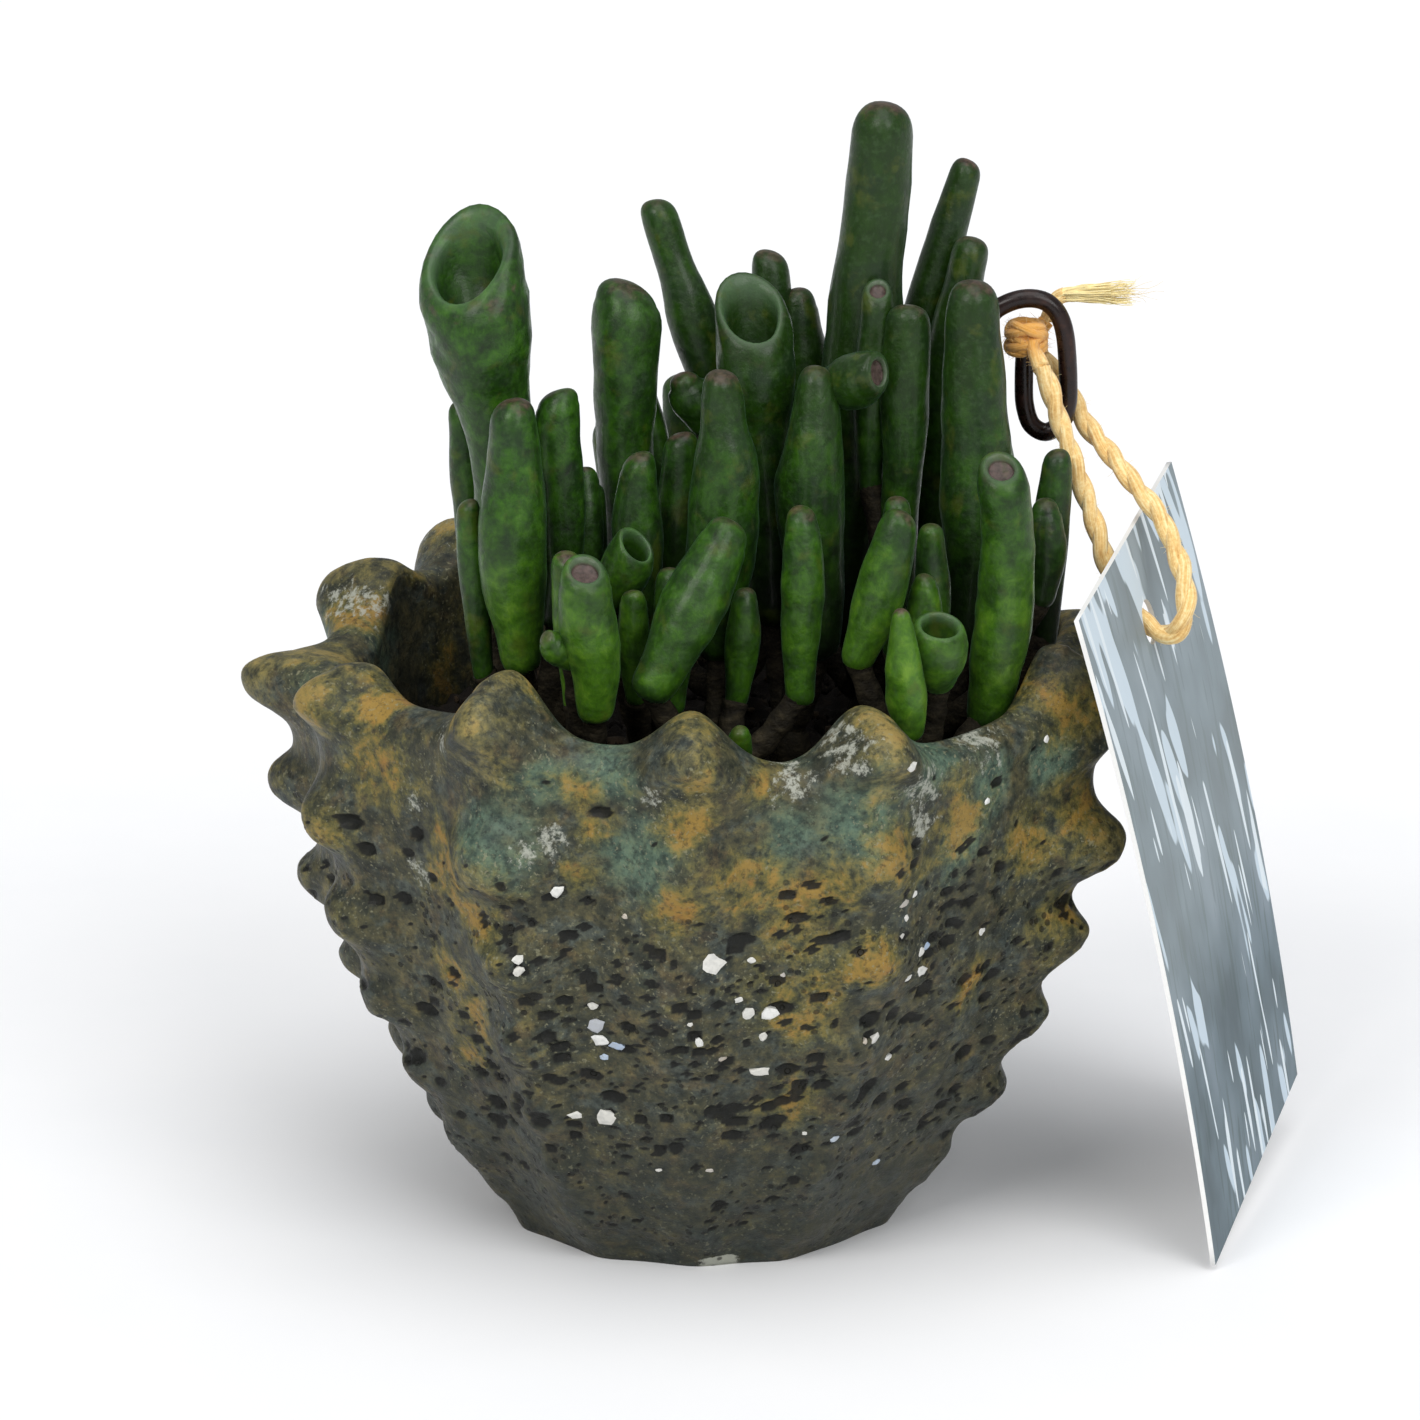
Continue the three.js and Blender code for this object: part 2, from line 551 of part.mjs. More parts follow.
function knotGeometry() {
  const inner = WIRE_DIAMETER / 2 + KNOT_GAP;
  const outer = inner + KNOT_THICKNESS;
  const half = [[inner, 2.1], [outer - KNOT_EDGE, KNOT_HALF_HEIGHT], [outer, 1.2]];
  const below = half.map(([radius, height]) => [radius, -height]);
  const geometry = lathe([...below, ...half.reverse(), below[0]], 12);
  geometry.translate(...KNOT_PLACE);
  return geometry;
}

const stems = Object.entries(STEMS).map(([name, stem]) => [name, stemSolid(stem)]);

// Plain holes in the soil for the stems and for the hook's stake, which leans a little
const HOLE_TOP = SOIL_TOP + 6;
const HOLE_SIDES = 10;
const STAKE_LEAN = [0.4, -0.3];

let soil = toSolid(soilGeometry());
for (const { foot } of Object.values(STEMS)) {
  const [x, y] = foot;
  const ends = [STEM_FOOT - HOLE_GAP, HOLE_TOP].map((height) => [x, y, height]);
  soil = soil.subtract(bar(...ends, STEM_RADIUS + HOLE_GAP, HOLE_SIDES));
}
const [stakeX, stakeY, stakeFoot] = HOOK_ROUTE[0];
const stakeHoleFoot = [stakeX, stakeY, stakeFoot - HOLE_GAP];
const stakeHoleTop = [stakeX + STAKE_LEAN[0], stakeY + STAKE_LEAN[1], HOLE_TOP];
const stakeHole = bar(stakeHoleFoot, stakeHoleTop, WIRE_DIAMETER / 2 + HOLE_GAP, HOLE_SIDES);

addPiece("pot", potGeometry(), glaze);
addPiece("soil", toGeometry(soil.subtract(stakeHole)), earth);
for (const [name, solid] of stems) addPiece(name, toGeometry(solid), foliage);
addPiece("hook", tube(HOOK_ROUTE, WIRE_DIAMETER, HOOK_STEPS), wire);
addPiece("knot", knotGeometry(), jute);
addPiece("twine", tube(TWINE_ROUTE, TWINE_DIAMETER, TWINE_STEPS), jute);
addPiece("twine_end", tube(TAIL_ROUTE, TAIL_DIAMETER, TAIL_STEPS), jute);
addPiece("tag", cardGeometry(), card);

export default group;
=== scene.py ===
# Looks of a potted gollum jade: a ribbed and pitted glazed pot, the leaves, a wire hook, jute twine and a
# card tag. The frame is that of the CAD part. Shapes are worked out in millimetres and made in metres.
import math
from typing import NamedTuple

import bpy
import numpy as np
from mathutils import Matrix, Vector


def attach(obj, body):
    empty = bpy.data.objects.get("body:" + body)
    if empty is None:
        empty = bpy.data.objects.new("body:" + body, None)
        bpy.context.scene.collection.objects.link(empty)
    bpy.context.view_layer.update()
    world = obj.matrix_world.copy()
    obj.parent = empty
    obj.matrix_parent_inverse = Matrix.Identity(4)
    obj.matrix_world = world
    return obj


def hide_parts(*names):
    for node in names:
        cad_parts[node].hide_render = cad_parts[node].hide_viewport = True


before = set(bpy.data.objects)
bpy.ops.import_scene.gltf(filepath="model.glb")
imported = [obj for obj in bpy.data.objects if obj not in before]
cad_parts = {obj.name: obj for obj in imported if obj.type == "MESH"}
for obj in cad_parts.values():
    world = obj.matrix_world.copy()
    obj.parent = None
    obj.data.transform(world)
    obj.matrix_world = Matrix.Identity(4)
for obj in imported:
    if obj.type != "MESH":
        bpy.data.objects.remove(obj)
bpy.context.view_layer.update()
MM = 0.001

# The view of the photograph: a long lens, 16 degrees above the table
AIM = np.array([1.2, 0, 63.9])
CAMERA_DISTANCE = 800
CAMERA_ELEVATION = 16
VIEW_WIDTH = 174.9  # how much of the scene's width shows at the aim

# The twine's route and those of its loose end and of the wire hook, as in the CAD part
TWINE_ROUTE = [
    [41.6, 4.5, 106.2], [42.6, 4.2, 103.9], [43.2, 4, 101.8], [43.9, 3.8, 99.6], [44.9, 3, 97],
    [46.7, 1.8, 91.8], [48.4, 0.2, 87], [49.7, -1.5, 82.8], [51.1, -2.9, 79.8], [52.9, -3.8, 77.3],
    [54.5, -4.2, 76], [56.2, -5.2, 75.1], [57.9, -6.6, 75.6], [58.9, -7, 78], [59, -5.8, 81.2],
    [57.9, -3.2, 85], [56.1, -0.4, 88.6], [53.3, 1.8, 91.8], [50, 6, 95.3], [47.3, 9.6, 98.1],
    [46.1, 11.1, 100.2], [43.9, 11.3, 103.4], [41.9, 11.3, 106.2],
]
TAIL_ROUTE = [
    [42.55, 11.15, 110.4], [42.9, 11.3, 111.7], [43.7, 11.4, 113.1], [44.8, 11.3, 113.7],
    [46.4, 11.1, 113.9], [49.6, 11, 113.95], [53.4, 10.8, 114.05],
]
HOOK_ROUTE = [
    [33.5, 11, 48], [34, 10.5, 65], [34.3, 9.5, 85], [34.4, 8.6, 101], [34.8, 8, 108.6],
    [35.7, 8, 112], [37.7, 8, 113.4], [40.1, 8, 113.95], [42.1, 8, 113.6], [43.45, 8, 112.5],
    [44.25, 8, 111], [44.7, 8, 109.2], [45, 8, 106.3], [45.15, 8, 103.3], [45.1, 8, 100.8],
    [44.4, 8, 98.4], [42.5, 8, 97.15], [40.8, 8, 98], [39.9, 8, 100.4], [39.7, 8, 104],
    [39.8, 8, 107.6], [40, 8, 110.4],
]
WIRE_DIAMETER = 2.3
KNOT_PLACE = np.array([39.9, 8, 109.1])

# The pot, as in the CAD part: its grooves, ribs and knobs by height, its valleys by direction from the front
RIM_HEIGHT = 70
WALL = 6
FLOOR_THICKNESS = 7
SOIL_TOP = 58
RIB_SPREAD = 8.5
KNOB_SPREAD = 6.5
RIM_SPREAD = 6.8
GROOVE_RADIUS = [
    [0, 22.6], [2, 25], [8, 29.2], [18, 34.2], [27, 38.2], [40, 43.2], [52, 46], [62, 47.2], [85, 48],
]
RIB_RISE = [[0, 0.8], [8, 1.4], [20, 2], [40, 2.8], [60, 3.2], [80, 3.2]]
KNOB_RISE = [[0, 0.2], [10, 1], [20, 2], [32, 3.2], [45, 4.2], [58, 4.8], [80, 4.8]]
KNOB_HEIGHTS = [3.5, 13, 22.5, 32.5, 43.5, 55.5, 68.5, 81.5]
KNOB_FULLNESS = 1.1
RIM_START = 52
DEEPEST_DIP = -2
WALL_TOP = 66.5
OUTER_LIFT_POWER = 8
INNER_LIFT_START = 52
INNER_LIFT = 1.05
CREST_SLANT = 0.3
FLARE_START = 61
FLARE_TOP = 68
VALLEY_HEIGHT = [
    [0, 71], [13, 69.5], [45, 69.7], [90, 71], [150, 73], [200, 75], [240, 74.5], [262, 69.5], [290, 71.5],
    [316, 73], [346, 72], [360, 71],
]


class Rib(NamedTuple):
    turn: float  # its direction from the front, in degrees
    rise: float  # how far its crest rises above the rim
    wall: float = 1  # share of the usual relief that it has on the wall
    rim: float = 1  # the same at the rim
    knobs: float = 1  # share of its wall relief that its knobs have
    lower: float = 0  # how much lower its knobs lie
    flare: float = 0.12  # how far the inner wall follows it


RIBS = [
    Rib(-1, 6.5, 0.8, 0.9, 0.35), Rib(25, 7.5, 0.95, 1, 0.45), Rib(70, 7, 1.35, 0.5, 0.8, 4.2, 0.55),
    Rib(103, 2.6, 0.8, 0.95, 0.6, flare=0.55), Rib(130, 5), Rib(157, 4), Rib(188, 5),
    Rib(220, 5.5, rim=1.05), Rib(243, 4.5, rim=0.95), Rib(266, 1, 1.12, 1.25, 0.86, 2.2),
    Rib(296, 4.5, 1.05, 0.9, 0.7), Rib(330, 8.5, knobs=0.7),
]


def make_camera():
    """Camera at the photograph's place."""
    camera = bpy.data.cameras.new("camera")
    camera.sensor_width = 36
    camera.lens = camera.sensor_width * CAMERA_DISTANCE / VIEW_WIDTH
    camera.clip_start = 0.05
    camera.clip_end = 20
    holder = bpy.data.objects.new("camera", camera)
    elevation = math.radians(CAMERA_ELEVATION)
    back = np.array([0, -math.cos(elevation), math.sin(elevation)])
    holder.location = Vector((AIM + CAMERA_DISTANCE * back) * MM)
    holder.rotation_euler = (math.radians(90 - CAMERA_ELEVATION), 0, 0)
    bpy.context.scene.collection.objects.link(holder)
    bpy.context.scene.camera = holder


# Meshes

class Shape:
    """Points, faces, three values at each point and a material number for each face, gathered bit by bit."""

    def __init__(self):
        self.points = []
        self.values = []
        self.faces = []
        self.materials = []
        self.count = 0

    def add(self, points, faces, values=(0, 0, 0), material=0):
        points, values = (np.asarray(rows, float).reshape(-1, 3) for rows in (points, values))
        self.points.append(points)
        self.values.append(np.broadcast_to(values, points.shape))
        self.faces += [tuple(int(i) + self.count for i in face) for face in faces]
        self.materials += [material] * len(faces)
        self.count += len(points)

    def add_rings(self, rings, values=(0, 0, 0), material=0):
        """A closed tube, from rings of points, with a flat cap at each end."""
        count, sides = np.shape(rings)[:2]
        ring, side = np.meshgrid(np.arange(count - 1), np.arange(sides), indexing="ij")
        following = (side + 1) % sides
        corners = [ring * sides + side, ring * sides + following]
        corners += [(ring + 1) * sides + following, (ring + 1) * sides + side]
        caps = [range(sides)[::-1], range((count - 1) * sides, count * sides)]
        self.add(rings, np.stack(corners, axis=-1).reshape(-1, 4).tolist() + caps, values, material)

    def build(self, name, surfaces, replaces=None, smooth=True):
        mesh = bpy.data.meshes.new(name)
        mesh.from_pydata((np.concatenate(self.points) * MM).tolist(), [], self.faces)
        form = mesh.attributes.new("form", "FLOAT_VECTOR", "POINT")
        form.data.foreach_set("vector", np.concatenate(self.values).astype(np.float32).ravel())
        for surface in surfaces:
            mesh.materials.append(surface)
        mesh.polygons.foreach_set("material_index", self.materials)
        mesh.polygons.foreach_set("use_smooth", [smooth] * len(mesh.polygons))
        piece = bpy.data.objects.new(name, mesh)
        bpy.context.scene.collection.objects.link(piece)
        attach(piece, "root")
        if replaces:
            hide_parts(replaces)
        return piece


def along(rows, position):
    places, values = zip(*rows)
    return np.interp(position, places, values)


def softly_along(rows, position, reach=3):
    """Value between rows of a list, its corners rounded off over a reach."""
    return np.mean([along(rows, position + step * reach / 2) for step in (-2, -1, 0, 1, 2)], axis=0)


def smoothstep(value, start, end):
    share = np.clip((np.asarray(value, float) - start) / (end - start), 0, 1)
    return share * share * (3 - 2 * share)


def unit(vectors):
    return vectors / np.maximum(np.linalg.norm(vectors, axis=-1, keepdims=True), 1e-9)


def waves(points, size, seed):
    """Smooth random relief, mostly between -1 and 1, with bumps about as wide as size."""
    random = np.random.default_rng(seed)
    count = 14
    directions = unit(random.normal(size=(count, 3)))
    directions *= math.tau / (2 * size) * random.uniform(0.6, 1.6, (count, 1))
    phases = random.uniform(0, math.tau, count)
    return np.sin(np.asarray(points) @ directions.T + phases).sum(axis=-1) * math.sqrt(1.2 / count)


CURVE_STEPS = 24  # points worked out between two places of a curve


def distance_along(line):
    """The way travelled along a line up to each of its points."""
    return np.concatenate([[0], np.cumsum(np.linalg.norm(np.diff(line, axis=0), axis=1))])


def curve_through(places, count):
    """Points evenly spaced on a centripetal curve through the places."""
    places = np.asarray(places, float)
    p = np.concatenate([[2 * places[0] - places[1]], places, [2 * places[-1] - places[-2]]])
    line = []
    for i in range(1, len(p) - 2):
        steps = np.linalg.norm(np.diff(p[i - 1:i + 3], axis=0), axis=1) ** 0.5
        t = np.concatenate([[0], np.cumsum(steps)])
        at = np.linspace(t[1], t[2], CURVE_STEPS, endpoint=False)[:, None]

        def between(a, b, start, end):
            return (a * (end - at) + b * (at - start)) / (end - start)

        first = between(p[i - 1], p[i], t[0], t[1])
        second = between(p[i], p[i + 1], t[1], t[2])
        third = between(p[i + 1], p[i + 2], t[2], t[3])
        before, after = between(first, second, t[0], t[2]), between(second, third, t[1], t[3])
        line.append(between(before, after, t[1], t[2]))
    line = np.concatenate([*line, places[-1:]])
    travelled = distance_along(line)
    at = np.linspace(0, travelled[-1], count)
    return np.stack([np.interp(at, travelled, line[:, axis]) for axis in range(3)], axis=1)


def frames_on(line):
    """Two directions across a line at each of its points, that turn as little as they can."""
    tangents = unit(np.gradient(line, axis=0))
    side = np.cross(tangents[0], [0.3, 0.5, 0.8])
    sides = []
    for tangent in tangents:
        side = unit(side - tangent * (side @ tangent))
        sides.append(side)
    sides = np.array(sides)
    return sides, np.cross(tangents, sides)


def round_about(sides):
    """Angles evenly spaced round a circle."""
    return np.linspace(0, math.tau, sides, endpoint=False)


def circled(radius, angle, height):
    """Points of level circles, at angles on them."""
    return np.stack(np.broadcast_arrays(radius * np.cos(angle), radius * np.sin(angle), height), axis=-1)


def tube(line, radius, sides):
    """Rings of points round a line. The radius is one number or one for each point of the line."""
    across, upwards = frames_on(line)
    angle = round_about(sides)[None, :, None]
    spokes = across[:, None] * np.cos(angle) + upwards[:, None] * np.sin(angle)
    radii = np.broadcast_to(np.asarray(radius, float), len(line))
    return line[:, None] + spokes * radii[:, None, None]


# Materials

def srgb(*screen):
    """A colour as it shows on a screen, 0 to 255, as the linear colour that a shader takes."""
    shares = [level / 255 for level in screen]
    return tuple(c / 12.92 if c <= 0.04 else ((c + 0.055) / 1.055) ** 2.4 for c in shares) + (1,)


MIX_INPUTS, MIX_OUTPUT = (6, 7), 2  # the colours that go into a mix and come out of it


class Surface:
    """A procedural material, put together from nodes. Sizes of its patterns are in millimetres.

    Its ramps and mixes take colours as the three numbers that show on a screen, 0 to 255.
    """

    def __init__(self, name, constants):
        self.material = bpy.data.materials.new(name)
        self.material.use_nodes = True
        self.tree = self.material.node_tree
        self.shader = self.tree.nodes["Principled BSDF"]
        self.place = self.tree.nodes.new("ShaderNodeTexCoord").outputs["Object"]
        self.form = self.attribute("form")
        for socket, value in constants.items():
            self.shader.inputs[socket].default_value = value

    def attribute(self, name):
        """The three values that a mesh keeps at its points under a name."""
        node = self.tree.nodes.new("ShaderNodeAttribute")
        node.attribute_name = name
        return self.node("ShaderNodeSeparateXYZ", {"Vector": node.outputs["Vector"]}).outputs

    def node(self, kind, inputs):
        node = self.tree.nodes.new(kind)
        for socket, value in inputs.items():
            self.put(node.inputs[socket], value)
        return node

    def put(self, socket, value):
        if isinstance(value, bpy.types.NodeSocket):
            self.tree.links.new(value, socket)
        else:
            socket.default_value = value

    def stretched(self, scale):
        """The place, scaled along each axis."""
        return self.node("ShaderNodeMapping", {"Vector": self.place, "Scale": scale}).outputs["Vector"]

    def noise(self, size, detail=3, roughness=0.55, place=None, warp=0):
        inputs = {"Vector": place or self.place, "Scale": 1 / (size * MM), "Detail": detail}
        inputs |= {"Roughness": roughness, "Distortion": warp}
        return self.node("ShaderNodeTexNoise", inputs).outputs["Fac"]

    def streaks(self, lengthwise, sideways, detail):
        """A pattern over two values, which is drawn out along the one that grows more slowly."""
        place = self.node("ShaderNodeCombineXYZ", {"X": lengthwise, "Y": sideways}).outputs["Vector"]
        inputs = {"Vector": place, "Scale": 1.0, "Detail": detail}
        return self.node("ShaderNodeTexNoise", inputs).outputs["Fac"]

    def cells(self, size):
        """Distance from the nearest of many scattered points, with the points about size apart."""
        inputs = {"Vector": self.place, "Scale": 1 / (size * MM)}
        return self.node("ShaderNodeTexVoronoi", inputs).outputs["Distance"]

    def ramp(self, value, stops):
        node = self.node("ShaderNodeValToRGB", {"Fac": value})
        elements = node.color_ramp.elements
        while len(elements) < len(stops):
            elements.new(1)
        for element, (position, color) in zip(elements, stops):
            element.position = position
            element.color = srgb(*color)
        return node.outputs["Color"]

    def range(self, value, start, end, low=0.0, high=1.0):
        """The value's way from start to end as a smooth way from low to high."""
        node = self.node("ShaderNodeMapRange", {"Value": value})
        node.interpolation_type = "SMOOTHSTEP"
        for socket, number in zip(("From Min", "From Max", "To Min", "To Max"), (start, end, low, high)):
            node.inputs[socket].default_value = number
        return node.outputs["Result"]

    def math(self, operation, first, second=0.0):
        node = self.tree.nodes.new("ShaderNodeMath")
        node.operation = operation
        self.put(node.inputs[0], first)
        self.put(node.inputs[1], second)
        return node.outputs["Value"]

    def plus(self, first, second):
        return self.math("ADD", first, second)

    def minus(self, first, second):
        return self.math("SUBTRACT", first, second)

    def times(self, first, second):
        return self.math("MULTIPLY", first, second)

    def most(self, first, second):
        return self.math("MAXIMUM", first, second)

    def swing(self, value, amount):
        """How far a value between 0 and 1 is from its middle, times an amount."""
        return self.times(self.minus(value, 0.5), amount)

    def mix(self, share, first, second):
        """A share of the way from one colour to another."""
        node = self.tree.nodes.new("ShaderNodeMix")
        node.data_type = "RGBA"
        self.put(node.inputs["Factor"], share)
        for number, color in zip(MIX_INPUTS, (first, second)):
            on_screen = isinstance(color, tuple) and len(color) == 3
            self.put(node.inputs[number], srgb(*color) if on_screen else color)
        return node.outputs[MIX_OUTPUT]

    def bump(self, height, depth):
        """Relief of a depth in millimetres."""
        return self.node("ShaderNodeBump", {"Height": height, "Distance": depth * MM}).outputs["Normal"]

    def finish(self, color, roughness=None, normal=None):
        self.put(self.shader.inputs["Base Color"], color)
        if roughness is not None:
            self.put(self.shader.inputs["Roughness"], roughness)
        if normal is not None:
            self.put(self.shader.inputs["Normal"], normal)
        return self.material


# Pot

# Columns and rows of the pot's mesh, and how many of them a pit reaches at most
POT_COLUMNS = 456
OUTER_ROWS = 168
RIM_ROWS = 22
INNER_ROWS = 20
PIT_COLUMNS = 7
PIT_ROWS = 9
PIT_COUNT = 2300
PIT_SEED = 5
CROWD_RADIUS = 46  # of the wall, for where pits crowd
PAINT_RADIUS = 48  # of the wall, for how wide a place of colour is
# What the glaze takes of the pot: its relief and height in these units, and a mark on the inner wall, where
# it paints shade
CREST_UNIT = 8
HEIGHT_UNIT = 80
INNER_MARK = 2
# Clusters of pits: direction, height, spread, how many, and usual radius
PIT_CLUSTERS = [
    (-51, 52, 5, 7, 1.1), (-17, 45, 6, 30, 0.8), (-26, 50, 4, 10, 0.7), (44, 51, 7, 34, 0.8),
    (14, 47, 4, 9, 0.9), (8, 25, 6, 22, 0.9), (-38, 21, 4, 9, 1.1), (30, 35, 7, 16, 0.8),
    (0, 35, 7, 16, 0.8), (-30, 30, 7, 18, 0.8),
]
# Places of colour on the glaze: direction, height and radius
GOLD_PLACES = [
    (-1, 70, 3), (-1, 64, 4), (-3, 53.5, 4), (7, 56, 6), (14, 52, 6), (18, 56, 5), (27, 59, 5),
    (25, 45, 4.5), (16, 40, 6), (16, 26, 5), (65, 70, 5), (66, 57, 6), (58, 55, 5), (50, 37, 4),
    (66, 44, 5), (40, 60, 6), (8.5, 68.5, 2.5), (297, 72, 5), (305, 72, 4), (266, 70, 4), (325, 76, 3.5),
    (326, 80, 3), (320, 59, 4), (317, 41, 4), (320, 34, 4), (315, 29, 4), (326, 50, 4), (321, 55, 6),
    (343, 67, 3.5), (345, 62.6, 3), (342, 56.6, 3), (307, 66, 6), (297, 56, 4), (252, 73, 4), (236, 78, 4),
    (222, 80, 4), (25, 75, 3.5),
]
TEAL_PLACES = [
    (21, 64.7, 7), (14.5, 62, 7), (35, 69, 5), (-9.5, 59, 6), (-28, 61.5, 6), (-14, 70, 5), (-20, 68, 4),
    (48, 64, 5), (42, 57, 5), (60, 64, 4), (250, 66, 6), (282, 68, 5),
]
SCUFF_PLACES = [
    (13, 68.5, 3.5), (19.5, 71, 2.5), (20, 74, 3), (33, 66.7, 5), (33, 61.3, 3), (47, 69.6, 5),
    (-6.5, 67.5, 2.3), (-21, 60.9, 2.8), (-24, 59.5, 2), (-47, 52.5, 2.5), (-38, 71, 2.5), (-46, 61.5, 2),
    (220, 74, 5), (250, 74, 4),
]
HIDDEN_SIDE = (85, 235)  # directions that the photograph doesn't show, where the places are drawn at random
HIDDEN_PLACES = 26


def turn_between(a, b):
    return (a - b + 540) % 360 - 180


def bell(offset, half_width):
    return np.exp(-((offset / half_width) ** 2))


def rim_height(turn):
    height = along(VALLEY_HEIGHT, turn % 360)
    for rib in RIBS:
        height = height + rib.rise * bell(turn_between(turn, rib.turn), RIM_SPREAD)
    return height


def rim_lift(turn):
    return np.maximum(rim_height(turn) - RIM_HEIGHT, DEEPEST_DIP)


def knob_share(height):
    """From 1 at the height of a knob to 0 midway to the next."""
    knob = np.interp(height, KNOB_HEIGHTS, range(len(KNOB_HEIGHTS)))
    return 0.5 + 0.5 * np.tanh(KNOB_FULLNESS * np.cos(math.tau * knob)) / math.tanh(KNOB_FULLNESS)


def rib_relief(rib, turn, height):
    """How far one rib with its knobs stands out of the wall."""
    offset = turn_between(turn, rib.turn)
    at_rim = smoothstep(height, RIM_START, RIM_HEIGHT)
    rib_share = rib.wall + (rib.rim - rib.wall) * at_rim
    knobs_share = rib.wall * rib.knobs + (rib.rim - rib.wall * rib.knobs) * at_rim
    knob_rise = softly_along(KNOB_RISE, height) * knob_share(height + rib.lower)
    rise = rib_share * softly_along(RIB_RISE, height) * bell(offset, RIB_SPREAD)
    return rise + knobs_share * knob_rise * bell(offset, KNOB_SPREAD)


def relief(turn, height):
    return sum(rib_relief(rib, turn, height) for rib in RIBS)


def around(turn, radius, height):
    angle = np.radians(turn)
    return np.stack([radius * np.sin(angle), -radius * np.cos(angle), height], axis=-1)


def outer_wall(turn, station):
    """Radius and height of the outer wall, from its height where the rim is lowest."""
    height = station + rim_lift(turn) * (station / RIM_HEIGHT) ** OUTER_LIFT_POWER
    return softly_along(GROOVE_RADIUS, height, 2) + relief(turn, station), height


def inner_wall(turn, station):
    """The same for the inner wall, which follows some ribs outwards near the rim."""
    height = station + INNER_LIFT * rim_lift(turn) * smoothstep(station, INNER_LIFT_START, WALL_TOP)
    flare = smoothstep(height, FLARE_START, FLARE_TOP)
    radius = along(GROOVE_RADIUS, height) - WALL
    for rib in RIBS:
        radius = radius + rib.flare * flare * rib_relief(rib, turn, np.minimum(height, FLARE_TOP))
    return radius, height


def rim_top(turn, across):
    """The round rim between the two walls, at a share of the way across from outside."""
    outside, outer_height = outer_wall(turn, WALL_TOP)
    inside, inner_height = inner_wall(turn, WALL_TOP)
    low = outer_height + (inner_height - outer_height) * across
    top = rim_height(turn) - CREST_SLANT * np.maximum(rim_lift(turn), 0) * (1 - across)
    arch = (1 - (1 - 2 * across) ** 2) ** 0.4
    return outside + (inside - outside) * across, low + (top - low) * arch


def pot_grid():
    """Points of the pot from the foot's edge up, over the rim and down to the floor, one row per turn."""
    turn = np.linspace(0, 360, POT_COLUMNS, endpoint=False)[None, :]
    up = np.linspace(0, 1, OUTER_ROWS)[:, None]
    down = np.linspace(1, 0, INNER_ROWS)[:, None]
    across = (1 - np.cos(np.linspace(0, math.pi, RIM_ROWS + 2)[1:-1, None])) / 2
    outer = outer_wall(turn, WALL_TOP * up ** 0.94)
    inner = inner_wall(turn, FLOOR_THICKNESS + (WALL_TOP - FLOOR_THICKNESS) * down)
    rows = [around(turn, *outer), around(turn, *rim_top(turn, across)), around(turn, *inner)]
    return turn[0], np.concatenate(rows)


def outward(points):
    """Directions out of a grid of points."""
    sideways = np.roll(points, -1, axis=1) - np.roll(points, 1, axis=1)
    return unit(np.cross(sideways, np.gradient(points, axis=0)))


def pit_list():
    """Direction, height, radius and share of width to height of every pit."""
    random = np.random.default_rng(PIT_SEED)
    pits = []
    for direction, height, spread, count, radius in PIT_CLUSTERS:
        for _ in range(count):
            place = random.normal(size=2) * spread * [1.3, 0.7]
            pits.append((direction + place[0], height + place[1], radius * random.uniform(0.45, 1.35),
                         random.uniform(1, 1.6)))
    for _ in range(PIT_COUNT):
        direction, height = random.uniform(0, 360), 5 + 64 * random.random() ** 1.1
        radius, wide, luck = 0.38 + 0.85 * random.random() ** 3.4, random.uniform(1, 1.7), random.random()
        crowd = waves(around(direction, CROWD_RADIUS, height)[None], 9, 7)[0]
        few = smoothstep(height, 42, 62) * 0.9 + smoothstep(height, 20, 6) * 0.5
        if luck > few + (0.45 if crowd < 0.1 else 0):
            pits.append((direction, height, radius * (1 - 0.4 * smoothstep(height, 22, 8)), wide))
    return pits


def spot(points, direction, height):
    """Row and column of the outer wall that lie nearest to a direction and height."""
    column = int(direction % 360 / 360 * POT_COLUMNS)
    return int(np.abs(points[:OUTER_ROWS, column, 2] - height).argmin()), column


def pit_depth(points):
    """Depth of the pits at each point of the wall, and a share of how deep in a pit it is."""
    depth = np.zeros(points.shape[:2])
    share = np.zeros(points.shape[:2])
    for direction, height, radius, wide in pit_list():
        row, column = spot(points, direction, height)
        columns = np.arange(column - PIT_COLUMNS, column + PIT_COLUMNS + 1) % POT_COLUMNS
        rows = range(max(row - PIT_ROWS, 0), min(row + PIT_ROWS + 1, OUTER_ROWS))
        patch = np.ix_(rows, columns)
        offsets = points[patch] - points[row, column]
        level = np.linalg.norm(offsets[..., :2], axis=-1) / wide
        distance = np.hypot(level, offsets[..., 2] * 1.15) / radius
        bowl = np.clip(1 - distance ** 2, 0, 1)
        depth[patch] = np.maximum(depth[patch], bowl ** 0.7 * radius * 0.75)
        share[patch] = np.maximum(share[patch], smoothstep(bowl, 0, 0.5))
    return depth, share


def painted(turn, points, places, seed):
    """Share of a colour at each point of the pot, from the places it lies on."""
    random = np.random.default_rng(seed)
    share = np.zeros(points.shape[:2])
    unseen = [(random.uniform(*HIDDEN_SIDE), random.uniform(28, 76), random.uniform(3, 6))
              for _ in range(HIDDEN_PLACES)]
    for direction, height, radius in places + unseen[:max(len(places) * 2 // 3, 5)]:
        level = np.radians(turn_between(turn[None, :], direction)) * PAINT_RADIUS
        distance = np.hypot(level, points[:, :, 2] - height) / radius
        share = np.maximum(share, np.exp(-distance ** 2))
    return share


